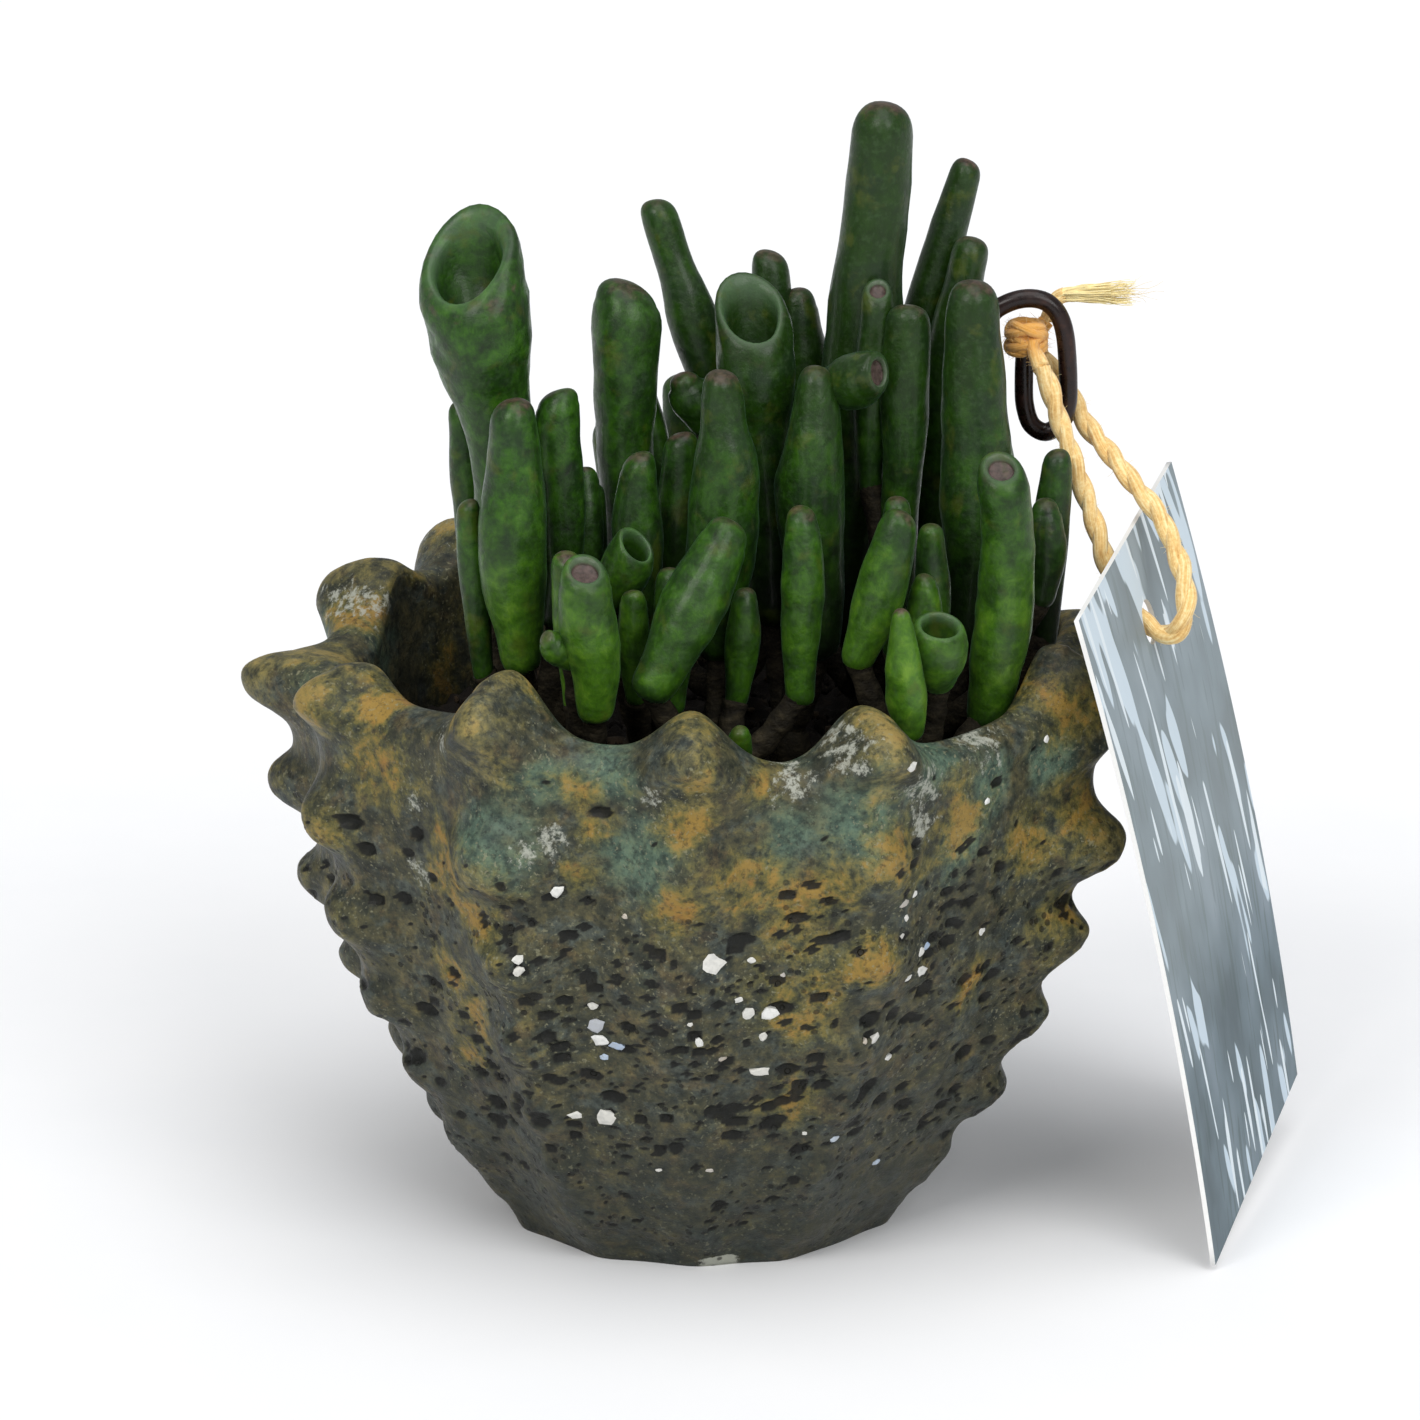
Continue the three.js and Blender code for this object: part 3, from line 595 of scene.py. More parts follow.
def make_pot(glaze):
    turn, points = pot_grid()
    normals = outward(points)
    crest = relief(turn[None, :], np.minimum(points[:, :, 2], WALL_TOP))
    outside = np.zeros(points.shape[:2])
    outside[:OUTER_ROWS + RIM_ROWS // 2] = 1
    above_foot = smoothstep(points[:, :, 2], 0, 4)
    depth, share = pit_depth(points)
    rough = 0.5 * waves(points, 9, 1) + 0.15 * waves(points, 3, 2) + 0.06 * waves(points, 1.4, 3)
    rough *= 0.35 + 0.65 * smoothstep(70 - points[:, :, 2], 0, 35)
    colors = [painted(turn, points, places, seed)
              for seed, places in enumerate((GOLD_PLACES, TEAL_PLACES, SCUFF_PLACES))]
    bare_clay = bell(turn_between(turn[None, :], 6), 5) * smoothstep(points[:, :, 2], 1.6, 0.9)
    colors[2] = np.maximum(colors[2], 3 * bare_clay)
    points = points + normals * ((rough * 0.8 - 0.25) * outside * above_foot - depth * above_foot)[..., None]
    points[:, :, 2] = np.maximum(points[:, :, 2], 0)
    inside = np.zeros(points.shape[:2])
    inside[OUTER_ROWS + RIM_ROWS:] = 1
    values = [crest / CREST_UNIT - INNER_MARK * inside, points[:, :, 2] / HEIGHT_UNIT, share]
    values = np.stack(values, axis=-1)
    shape = Shape()
    shape.add_rings(points, values)
    pot = shape.build("pot_glazed", [glaze], replaces="pot")
    paint = pot.data.attributes.new("paint", "FLOAT_VECTOR", "POINT")
    paint.data.foreach_set("vector", np.stack(colors, axis=-1).astype(np.float32).ravel())
    return points, normals


# White flakes in the glaze: direction, height and radius
FLAKES = [
    (-17, 38.6, 1.3), (-17, 36.3, 1.5), (-16, 34.2, 1.4), (-14, 33.8, 1.2), (-16, 31.8, 0.8),
    (-22.7, 23.4, 1.2), (-17, 23.4, 1.9), (3, 46.2, 1.7), (8, 46.2, 0.7), (8.5, 38.8, 1.5),
    (11.5, 38.8, 1.5), (10.5, 35.8, 1), (10.8, 30.4, 1.6), (0.3, 35.3, 1), (4, 32.8, 1), (6.5, 40.8, 0.7),
    (35.6, 44.7, 1.1), (37.5, 44.8, 0.8), (33.8, 41.8, 0.9), (36.5, 41.8, 1.2), (31.5, 47.8, 0.9),
    (29.5, 34.3, 1.2), (27.5, 34.3, 0.6), (35, 29.8, 0.7), (27, 19.3, 0.9), (43.7, 13, 0.7), (2.4, 16, 0.6),
    (-25.4, 45.8, 1), (-25.4, 44.4, 1), (-20, 54.5, 1.2), (-11, 51.6, 0.6), (30.2, 52.3, 1),
    (32.5, 53, 0.8), (31, 50, 0.8), (50.5, 44.5, 0.8), (47, 62, 0.8), (28, 76, 1), (-1, 38, 0.5),
    (20, 21, 0.5), (-8, 16, 0.5), (13, 44, 0.5), (60, 73, 0.7),
]
HIDDEN_FLAKES = 34
FLAKE_SIDES = 9


def make_flakes(points, normals, surface):
    """Small pale flakes with broken outlines, a little sunk in the glaze."""
    random = np.random.default_rng(61)
    places = FLAKES + [(random.uniform(*HIDDEN_SIDE), random.uniform(14, 66), random.uniform(0.5, 1.4))
                       for _ in range(HIDDEN_FLAKES)]
    shape = Shape()
    for direction, height, radius in places:
        row, column = spot(points, direction, height)
        normal = normals[row, column]
        side = unit(np.cross([0, 0, 1], normal))
        up = np.cross(normal, side)
        angle = round_about(FLAKE_SIDES) + random.uniform(-0.2, 0.2, FLAKE_SIDES)
        reach = radius * 0.8 * random.uniform(0.65, 1.15, FLAKE_SIDES)
        outline = side * (np.cos(angle) * reach * random.uniform(0.8, 1.2))[:, None]
        outline = outline + up * (np.sin(angle) * reach * random.uniform(0.7, 1))[:, None]
        rings = [outline * 0.9 - normal * 0.6, outline + normal * 0.02, outline * 0.6 + normal * 0.16]
        rings = points[row, column] + np.array(rings)
        shape.add_rings(rings, (random.random(), random.random(), 0))
    shape.build("glaze_flakes", [surface], smooth=False)


def flake_surface():
    s = Surface("pale_flakes", {"IOR": 1.5, "Roughness": 0.35})
    tone = s.ramp(s.form[0], [
        (0.0, (222, 222, 218)), (0.7, (206, 204, 196)), (0.8, (150, 175, 205)), (1, (186, 172, 150)),
    ])
    return s.finish(s.mix(s.range(s.noise(0.7, 3), 0.4, 0.7, 0.0, 0.4), tone, (160, 162, 158)))


def glaze_surface():
    """Mottled glaze: olive grey, teal near the rim, gold in patches and as a painted highlight on the
    crests, black in the pits, pale scuffs, painted shade towards the foot and on the inner wall.
    """
    s = Surface("glaze", {"IOR": 1.45, "Specular IOR Level": 0.3})
    crest, height, pit = s.form
    gold_paint, teal_paint, scuff_paint = s.attribute("paint")
    broad = s.noise(7, 4, 0.6)
    middling = s.noise(3.2, 5, 0.65, warp=0.4)
    small = s.noise(1.7, 4, 0.7)
    fine = s.noise(0.8, 4, 0.7)
    tone = s.plus(s.times(middling, 0.6), s.times(small, 0.4))
    body = s.ramp(tone, [
        (0.34, (28, 31, 25)), (0.45, (50, 52, 40)), (0.54, (74, 72, 51)), (0.66, (108, 99, 66)),
    ])
    blotches = s.range(s.noise(4.4, 5, 0.65, s.stretched((1, 1, 1.3))), 0.46, 0.64)
    body = s.mix(s.times(blotches, 0.6), body, s.ramp(small, [
        (0.38, (38, 46, 46)), (0.62, (82, 93, 90)),
    ]))
    browns = s.range(s.noise(3.7, 5, 0.65, warp=0.3), 0.52, 0.66)
    body = s.mix(s.times(browns, 0.5), body, s.ramp(small, [
        (0.38, (58, 48, 34)), (0.62, (114, 98, 64)),
    ]))
    teal = s.plus(teal_paint, s.swing(broad, 2.0))
    body = s.mix(s.range(teal, 0.2, 1.0, 0.0, 0.75), body, s.ramp(small, [
        (0.38, (60, 80, 70)), (0.6, (98, 123, 103)),
    ]))
    # Painted highlight: gold on the rib crests, more of it higher up, added to the gold patches
    high = s.times(s.range(crest, 0.34, 0.95), s.range(height, 0.25, 0.6, 0.3, 0.65))
    gold = s.most(gold_paint, high)
    uneven = s.swing(tone, 3.2)
    gold = s.plus(gold, s.plus(uneven, s.swing(broad, 1.4)))
    gold_color = s.ramp(gold, [
        (0.2, (80, 82, 48)), (0.5, (104, 102, 50)), (0.8, (131, 117, 52)), (1.0, (150, 120, 52)),
    ])
    rusty = s.times(s.range(s.noise(3.1, 4, 0.6), 0.54, 0.7), s.range(gold_paint, 0.3, 0.9))
    gold_color = s.mix(s.times(rusty, 0.6), gold_color, (156, 108, 46))
    # Painted highlight: a paler gold on the tops of the crests
    gold_color = s.mix(s.range(crest, 0.5, 1.0, 0.0, 0.65), gold_color, (152, 139, 86))
    body = s.mix(s.range(gold, 0.1, 1.2, 0.0, 0.82), body, gold_color)
    body = s.mix(s.range(fine, 0.52, 0.32, 0.0, 0.65), body, (28, 32, 27))
    specks = s.times(s.range(s.noise(0.55, 2), 0.6, 0.68), s.range(broad, 0.4, 0.6, 0.1, 0.6))
    body = s.mix(specks, body, (132, 130, 104))
    # Painted shade: the glaze darker towards the foot
    body = s.mix(s.range(height, 0.5, 0.1, 0.0, 0.5), body, (36, 41, 37))
    scuff = s.plus(scuff_paint, s.swing(s.noise(1.3, 5, 0.75), 3.6))
    scuff = s.times(s.range(scuff, 0.72, 1.25), s.range(scuff_paint, 0.12, 0.3))
    body = s.mix(s.times(scuff, 0.8), body, (170, 172, 160))
    crowd = s.range(s.noise(6, 2), 0.44, 0.58)
    small_pits = s.times(s.range(s.cells(1.4), 0.33, 0.2), crowd)
    small_pits = s.times(small_pits, s.range(height, 0.8, 0.62, 0.06, 1.0))
    dark = s.most(s.times(small_pits, 0.8), s.range(pit, 0.12, 0.6))
    body = s.mix(s.times(dark, 0.94), body, (14, 15, 12))
    # Painted shade: the inner wall darker, more so deeper below the rim
    inner = s.times(s.range(crest, -0.5, -1.2), s.range(height, 0.87, 0.64, 0.15, 1.0))
    body = s.mix(inner, body, (26, 27, 23))
    relief_height = s.plus(s.times(fine, 0.35), tone)
    normal = s.bump(s.minus(relief_height, s.times(small_pits, 0.5)), 0.3)
    return s.finish(body, s.range(fine, 0.3, 0.7, 0.4, 0.6), normal)


# Leaves and stems

LEAF_SIDES = 28
BODY_ROWS = 34
TIP_ROWS = 9
LIP_WIDTH = 0.12  # round a mouth, as a share of the leaf's width
STEM_FOOT = 46
STEM_TOP = 63
STEM_RADIUS = 2.6
TWIG_RADIUS = 1.7
TWIG_INTO_LEAF = 0.06
TWIG_ROWS = 26
TWIG_SIDES = 12
TWIG_WAVE = 26  # radians of the rings' wave along a twig
TRUNK_ROWS = 30
TRUNK_SIDES = 16
TRUNK_WAVE = 30
# Each form of tip: the mouth's share of the width, its depth, and how far the leaf flares towards it
FORMS = {"finger": (0, 0, 0), "dimple": (0.5, 0.9, 0.4), "cup": (0.64, 4.5, 0.8), "trumpet": (0.66, 9, 1)}
TAPER_ROOM = 0.4


class Leaf(NamedTuple):
    root: tuple
    tip: tuple
    width: float
    form: str = "finger"
    neck: float = 0  # share of its length at which it begins to swell
    belly: float = 0.6  # share of its length at which it is widest
    waist: float = 0.62  # share of its full width that it has up to the neck
    taper: float = 0.28  # how much it narrows towards the tip
    bend: tuple = (0, 0, 0)  # how far its middle lies aside
    look: tuple = (0, -0.7, 0.7)  # the way that its mouth faces


# Leafy stems, as in the CAD part: the place where each stands in the soil, and its leaves
STEMS = {
    "stem_left": ((-20, -9), [
        Leaf((-23, -5, 76), (-28, -6, 122.1), 13,
             form="trumpet", neck=0.4, belly=0.88, waist=0.54, bend=(2, 0, 0), look=(-0.39, -0.65, 0.66)),
        Leaf((-27, 1, 76), (-29.5, 4, 102), 4.5),
        Leaf((-26, -13, 71), (-27.9, -13, 93.8), 3.7, bend=(-0.5, 0, 0)),
        Leaf((-21.5, -16, 73), (-22.3, -16, 107), 8.2, belly=0.4, waist=0.55),
        Leaf((-17.2, -7, 76), (-17, -5, 105.6), 5.8, belly=0.85, waist=0.8),
        Leaf((-13.7, -6, 76), (-14, -3, 95.5), 4.4),
        Leaf((-12.2, -5, 76), (-12.9, -3.2, 93.5), 3.4),
    ]),
    "stem_front_left": ((-13, -24), [
        Leaf((-12.4, -28.5, 70.6), (-13.5, -31, 89.9), 7, form="dimple", look=(0.1, -0.55, 0.8)),
        Leaf((-14.8, -22.5, 70), (-16, -23.5, 90), 5),
        Leaf((-14.6, -28, 77.5), (-18.2, -31.5, 82), 3.6),
    ]),
    "stem_middle": ((-7, -6), [
        Leaf((-8, 1, 72), (-9.2, 4, 117), 8.4, neck=0.5, belly=0.86, waist=0.8),
        Leaf((-9, 5, 84), (-11.3, 10, 104.3), 4.4),
        Leaf((-3.5, 6, 84), (-7.6, 9, 104.5), 4.6),
        Leaf((-7.5, -8, 72), (-7.1, -8, 98.5), 6),
        Leaf((-3, -3.5, 72), (-2.3, -2, 99.5), 6),
        Leaf((-10.5, -15, 81), (-7.6, -18.5, 89.6), 6, form="cup", look=(0.6, -0.5, 0.62)),
        Leaf((-7.6, -19, 70), (-8, -20, 84.5), 4.2),
        Leaf((-3.4, -16.5, 68), (-3.4, -17, 86.5), 5),
    ]),
    "stem_front": ((2, -21), [
        Leaf((-6.4, -27.5, 73), (4, -22, 93.6), 7.8, belly=0.55, waist=0.7),
        Leaf((2.2, -11.5, 73), (2.6, -11, 109.3), 8.7, belly=0.5, waist=0.6, taper=0.42, bend=(1, 0, 0)),
        Leaf((12, -20, 70), (12.1, -19, 94.5), 5.4),
        Leaf((4.5, -27, 62.5), (4.8, -31, 70.5), 3.4),
        Leaf((4.2, -17.5, 69), (5.4, -17, 84), 4.2),
    ]),
    "stem_centre": ((11, -3), [
        Leaf((14.6, -6, 72), (14.1, -5, 108.5), 8.5, belly=0.55, taper=0.42, bend=(-1.4, 0, 0)),
        Leaf((9, 2, 74), (6, 2, 113.9), 9.8,
             form="trumpet", neck=0.4, belly=0.9, waist=0.6, bend=(1, 0, 0), look=(0.08, -0.67, 0.74)),
        Leaf((14.5, 1.2, 104), (21.5, -7, 108.2), 7, form="dimple", look=(0.8, -0.5, 0.1)),
    ]),
    "stem_back": ((3, 12), [
        Leaf((1.2, 6, 97.5), (-2.4, 4.5, 105.3), 5.4),
        Leaf((5.2, 10, 84), (-5.8, 14, 125), 6, bend=(2.6, 0, 0)),
        Leaf((8.9, 13, 80), (8.6, 17, 118), 5.4, belly=0.7),
        Leaf((13, 15, 79), (12, 16.5, 113.4), 7.2, taper=0.4, bend=(1.5, 0, 0)),
        Leaf((0, 20, 70), (-3, 27, 100), 5.6),
        Leaf((-6, 16, 70), (-12, 20, 96), 5.4),
        Leaf((6, 24, 68), (8, 31, 92), 5.6),
    ]),
    "stem_tall": ((21, 11), [
        Leaf((17.7, 10, 70), (22.6, 10, 137.9), 9.6, belly=0.5, taper=0.24, bend=(-0.7, 0, 0)),
        Leaf((22.5, 15, 84), (33.2, 19, 129), 5.4, bend=(-1, 0, 2)),
        Leaf((28.6, 12.5, 78), (33.6, 13, 120.5), 6.2, bend=(-2.6, 0, 0)),
        Leaf((20.5, 22, 70), (22, 29, 101), 5.8),
        Leaf((28, 20, 72), (33, 25, 104), 5.4),
        Leaf((13.5, 20, 70), (15, 25, 98), 5.2),
    ]),
    "stem_right": ((28, -6), [
        Leaf((24.4, 2, 75), (25.3, 1, 114.7), 6.1, neck=0.4, belly=0.8, waist=0.75),
        Leaf((32.9, -2, 72), (33, 0, 118), 9, belly=0.45, waist=0.7, bend=(1.2, 0, 0)),
        Leaf((20.9, 3.1, 90), (21.6, 2.8, 116.2), 4.7, form="dimple", look=(0, -0.6, 0.8)),
        Leaf((27.8, -13, 73), (27.8, -13.5, 91), 4.4),
        Leaf((23.5, -13, 74), (23.7, -12, 94), 4.2),
        Leaf((41.2, -6, 78.5), (41.7, -6, 92.2), 5),
        Leaf((42, -2, 72), (43.5, -1.5, 97.3), 4.8),
    ]),
    "stem_front_right": ((26, -23), [
        Leaf((34.2, -16, 66), (35.7, -20, 99.6), 7.2,
             form="dimple", belly=0.4, waist=0.7, bend=(3.2, 0, 0), look=(0, -0.6, 0.8)),
        Leaf((18.4, -21, 75), (24, -21, 94.6), 6.2, belly=0.45),
        Leaf((25, -29, 68.5), (23.6, -31.5, 85.3), 5.2, belly=0.35, taper=0.55),
        Leaf((28.4, -24, 73.5), (28.4, -28.3, 82.4), 7, form="cup", look=(0.1, -0.4, 0.9)),
        Leaf((26.8, -17.5, 74), (26.9, -18.5, 86), 4),
    ]),
}


def swell(share, leaf):
    """Half width of a leaf as a share of its widest, at a share of its length."""
    taper = (1 - FORMS[leaf.form][2]) * leaf.taper * min((1 - leaf.belly) / TAPER_ROOM, 1)
    rise = smoothstep(share, leaf.neck, leaf.belly)
    fall = smoothstep(share, leaf.belly, 1)
    return leaf.waist + (1 - leaf.waist) * rise - taper * fall


def leaf_profile(leaf, length):
    """Radius and distance from the root of each ring of a leaf, and how far round its lip each ring lies."""
    half = leaf.width / 2
    mouth, depth, _ = FORMS[leaf.form]
    shoulder = length - half * (0.7 if mouth else 0.8)
    last = half * swell(1, leaf)
    distance = shoulder * np.linspace(0, 1, BODY_ROWS)
    radius = half * swell(distance / length, leaf)
    base = np.clip(distance / (radius[0] * 0.9), 0, 1)
    radius = radius * (0.35 + 0.65 * np.sqrt(1 - (1 - base) ** 2))
    arc = np.linspace(0, math.pi / 2, TIP_ROWS + 1)[1:]
    if not mouth:
        cap = [last * np.cos(arc) ** 0.8, shoulder + (length - shoulder) * np.sin(arc) ** 0.9]
        lip = np.zeros(len(arc))
    else:
        edge = mouth + LIP_WIDTH
        drop = half * 0.2
        outer_lip = [last * (edge + (1 - edge) * np.cos(arc) ** 0.8),
                     shoulder + (length - shoulder) * np.sin(arc)]
        inner_lip = [last * (mouth + LIP_WIDTH * (1 - np.sin(arc))), length - drop * (1 - np.cos(arc))]
        bowl = [last * mouth * np.cos(arc) ** 0.8, length - drop - (depth - drop) * np.sin(arc)]
        cap = np.concatenate([outer_lip, inner_lip, bowl], axis=1)
        lip = np.concatenate([arc * 0.3, 0.5 + arc * 0.3, 1 + arc + (2 if leaf.form == "dimple" else 0)])
        if leaf.form == "dimple":
            lip[len(arc):2 * len(arc)] += 2
    radius = np.concatenate([radius, np.maximum(cap[0], 0.02)])
    return radius, np.concatenate([distance, cap[1]]), np.concatenate([np.zeros(BODY_ROWS), lip])


def leaf_rings(leaf, seed):
    """Rings of points of a leaf and its values: way along it, a number of its own, way into its mouth."""
    root, tip, bend = (np.array(place, float) for place in (leaf.root, leaf.tip, leaf.bend))
    random = np.random.default_rng(seed)
    length = np.linalg.norm(tip - root)
    radius, distance, lip = leaf_profile(leaf, length)
    share = np.clip(distance / length, 0, 1)[:, None]
    middle = (root + tip) / 2 + bend
    centre = (1 - share) ** 2 * root + 2 * share * (1 - share) * middle + share ** 2 * tip
    forward = unit(2 * (1 - share) * (middle - root) + 2 * share * (tip - middle))
    sideways = unit(np.cross([0, 1, 0], forward))
    across = np.cross(forward, sideways)
    angle = round_about(LEAF_SIDES)[None, :, None]
    spokes = (sideways[:, None] * np.cos(angle) + across[:, None] * np.sin(angle)) * radius[:, None, None]
    raw = centre[:, None] + spokes
    uneven = 1 + 0.045 * waves(raw, 7, seed) + 0.02 * waves(raw, 2.5, seed + 1)
    sway = np.stack([waves(centre, 16, seed + 2), waves(centre, 16, seed + 3), 0 * share[:, 0]], axis=-1)
    sway *= 0.35 * share * (1 - share) * 4
    points = centre[:, None] + sway[:, None] + spokes * uneven[..., None]
    if leaf.form == "finger":
        slope = random.uniform(0, 0.4) * np.array([math.cos(seed * 1.7), math.sin(seed * 1.7) * 0.6, 0])
        near = smoothstep(distance, length - leaf.width * 0.9, length)
        points = points - forward[:, None] * (spokes @ slope)[..., None] * near[:, None, None]
    else:
        look = unit(np.array(leaf.look, float))
        shear = -(spokes @ look) / (forward @ look)[:, None]
        near = smoothstep(share[:, 0], 0.55, 1)
        points = points + forward[:, None] * (shear * near[:, None])[..., None]
    own = (seed * 0.618) % 1
    to_tip = 1 - np.clip((length - distance) / leaf.width, 0, 1) * 0.5
    if leaf.form != "finger":
        to_tip = np.minimum(to_tip, 0.9)
    values = np.stack([to_tip, np.full(len(share), own), lip], axis=-1)
    return points, np.repeat(values[:, None], LEAF_SIDES, axis=1)


def add_twig(shape, start, end, radius):
    """A woody twig with rings where old leaves stood."""
    start, end = np.array(start, float), np.array(end, float)
    middle = (start + end) / 2 + [0, 0, -0.12 * np.linalg.norm(end - start)]
    line = curve_through([start, middle, end], TWIG_ROWS)
    at = np.linspace(0, 1, TWIG_ROWS)
    rings = tube(line, radius * (1.05 - 0.15 * at + 0.06 * np.cos(at * TWIG_WAVE)), TWIG_SIDES)
    shape.add_rings(rings, (0.5, 0.5, 0), material=1)


def make_stem(name, foot, leaves, surfaces, seed):
    shape = Shape()
    for i, leaf in enumerate(leaves):
        shape.add_rings(*leaf_rings(leaf, seed + 7 * i))
        root, tip = np.array(leaf.root, float), np.array(leaf.tip, float)
        add_twig(shape, (*foot, STEM_TOP - 1), root + (tip - root) * TWIG_INTO_LEAF, TWIG_RADIUS * 0.95)
    trunk = curve_through([(*foot, STEM_FOOT), (*foot, SOIL_TOP), (*foot, STEM_TOP)], TRUNK_ROWS)
    swelling = 1 + 0.05 * np.cos(np.linspace(0, TRUNK_WAVE, TRUNK_ROWS))
    swelling[-3:] *= [0.95, 0.8, 0.5]
    rings = tube(trunk, STEM_RADIUS * 0.97 * swelling, TRUNK_SIDES)
    shape.add_rings(rings, (0.5, 0.5, 0), material=1)
    shape.build(name + "_leaves", surfaces, replaces=name)


def leaf_surface():
    """Waxy green skin, mottled, with a corky tip and a pale lip. Painted on it: light on some low front
    leaves, shade on the high ones, deep among them and inside the mouths, and a highlight on the lips.
    """
    s = Surface("leaf_skin", {
        "IOR": 1.45, "Specular IOR Level": 0.32, "Coat Weight": 0.1, "Coat Roughness": 0.15,
        "Sheen Weight": 0.13, "Sheen Roughness": 0.3, "Sheen Tint": srgb(130, 175, 160),
        "Subsurface Weight": 0.05, "Subsurface Radius": (0.3, 1, 0.2), "Subsurface Scale": 0.0012,
    })
    near_tip, own, lip = s.form
    mottle = s.noise(2.4, 5, 0.65, warp=0.3)
    patches = s.noise(5, 3, 0.6)
    fine = s.noise(0.8, 3, 0.6)
    green = s.ramp(mottle, [(0.3, (19, 37, 10)), (0.46, (31, 63, 10)), (0.6, (46, 86, 14)),
                            (0.76, (66, 106, 26))])
    lit_young_green = s.ramp(mottle, [(0.3, (46, 80, 18)), (0.5, (72, 114, 26)), (0.7, (104, 142, 40))])
    place = s.node("ShaderNodeSeparateXYZ", {"Vector": s.place}).outputs
    # Painted shade: the leaves high up, apart from those on the left, darker
    high = s.times(s.range(place["Z"], 0.088, 0.112), s.range(place["X"], -0.014, 0.004))
    green = s.mix(s.times(high, 0.8), green, (24, 46, 6))
    # Painted light: the low leaves at the front, away from the middle, lighter, in a paler young green
    from_middle = s.math("ABSOLUTE", s.minus(place["X"], 0.004))
    low = s.times(s.range(place["Z"], 0.097, 0.075), s.range(place["Y"], -0.012, -0.021))
    low = s.times(low, s.range(from_middle, 0.008, 0.015, 0.3, 1.0))
    green = s.mix(s.times(low, s.range(own, 0.0, 1.0, 0.6, 1.0)), green, lit_young_green)
    green = s.mix(s.range(patches, 0.48, 0.66, 0.0, 0.55), green, (25, 44, 24))
    green = s.mix(s.range(fine, 0.5, 0.7, 0.0, 0.25), green, (64, 90, 54))
    shade = s.times(s.range(place["Z"], 0.1, 0.076), s.range(place["Y"], -0.02, -0.005))
    green = s.mix(s.times(shade, 0.82), green, (9, 12, 7))
    cork = s.plus(near_tip, s.swing(s.noise(2.2, 3), 0.3))
    cork = s.times(s.range(cork, 0.91, 1.01), s.range(own, 0.0, 1.0, 0.35, 0.95))
    green = s.mix(cork, green, s.ramp(fine, [(0.35, (50, 36, 30)), (0.65, (92, 72, 62))]))
    # Partly painted highlight: a pale bluish rim round each mouth, over the rim's own paler tone
    pale = s.times(s.range(lip, 0.3, 0.6), s.range(lip, 1.3, 0.9))
    green = s.mix(s.times(pale, 0.3), green, (104, 132, 100))
    # Painted shade: darker green deeper inside the mouths
    green = s.mix(s.range(lip, 1.05, 1.9, 0.0, 0.6), green, (26, 50, 16))
    green = s.mix(s.range(lip, 2.1, 2.5, 0.0, 0.4), green, (112, 126, 104))
    green = s.mix(s.range(lip, 2.8, 3.0, 0.0, 0.95), green, s.ramp(fine, [
        (0.35, (52, 38, 34)), (0.65, (90, 72, 68)),
    ]))
    yellow = s.noise(4.1, 3, 0.6, warp=0.2)
    green = s.mix(s.range(yellow, 0.56, 0.72, 0.0, 0.45), green, (78, 88, 26))
    skin = s.bump(s.plus(mottle, s.times(fine, 0.5)), 0.13)
    return s.finish(green, s.range(fine, 0.3, 0.7, 0.32, 0.5), skin)


def bark_surface():
    """Grey-brown corky skin of the old stems."""
    s = Surface("stem_bark", {"Specular IOR Level": 0.15})
    rings = s.noise(2, 4, 0.6, s.stretched((1, 1, 2.5)))
    fine = s.noise(0.6, 3)
    color = s.ramp(rings, [(0.3, (20, 17, 12)), (0.5, (34, 30, 21)), (0.7, (54, 48, 35))])
    return s.finish(color, s.range(fine, 0.3, 0.7, 0.7, 0.95), s.bump(s.plus(rings, fine), 0.3))


# Soil

SOIL_EDGE_GAP = 0.5
SOIL_RINGS = 70
SOIL_SIDE_ROWS = 8
SOIL_SIDES = 200
SOIL_RISE = 0.6
CRUMB_COUNT = 620
CRUMB_ROWS = 5
CRUMB_SIDES = 7


def soil_height(points):
    return 0.7 * waves(points, 6, 11) + 0.5 * waves(points, 2.4, 12) + 0.3 * waves(points, 1.1, 13)


def make_soil(surface):
    """Crumbly potting mix: an uneven top with loose crumbs on it, and plain sides."""
    edge = along(GROOVE_RADIUS, SOIL_TOP) - WALL - SOIL_EDGE_GAP
    radii = edge * np.linspace(0.01, 1, SOIL_RINGS)
    angle = round_about(SOIL_SIDES)
    top = circled(radii[:, None], angle, 0)
    top[..., 2] = SOIL_TOP + SOIL_RISE + soil_height(top)
    heights = np.linspace(SOIL_TOP - 2, FLOOR_THICKNESS + SOIL_RISE, SOIL_SIDE_ROWS)[:, None]
    sides = circled(along(GROOVE_RADIUS, heights) - WALL - SOIL_EDGE_GAP, angle, heights)
    shape = Shape()
    shape.add_rings(np.concatenate([top, sides])[::-1], (0, 0.5, 0))
    random = np.random.default_rng(21)
    for _ in range(CRUMB_COUNT):
        place = edge * 0.96 * math.sqrt(random.random()) * unit(random.normal(size=2))
        add_crumb(shape, place, random)
    shape.build("soil_mix", [surface], replaces="soil")


def add_crumb(shape, place, random):
    """An uneven little lump that lies half sunk in the top of the soil."""
    size = 0.45 + 0.9 * random.random() ** 2
    polar = np.linspace(0.15, math.pi - 0.15, CRUMB_ROWS)[:, None]
    ball = circled(np.sin(polar), round_about(CRUMB_SIDES), np.cos(polar))
    ball *= size * random.uniform(0.7, 1.3, (CRUMB_ROWS, CRUMB_SIDES, 1)) * random.uniform(0.6, 1.2, 3)
    centre = np.array([*place, 0])
    centre[2] = SOIL_TOP + SOIL_RISE + float(soil_height(centre)) + size * 0.2
    shape.add_rings(ball[::-1] + centre, (0, random.random(), 1))


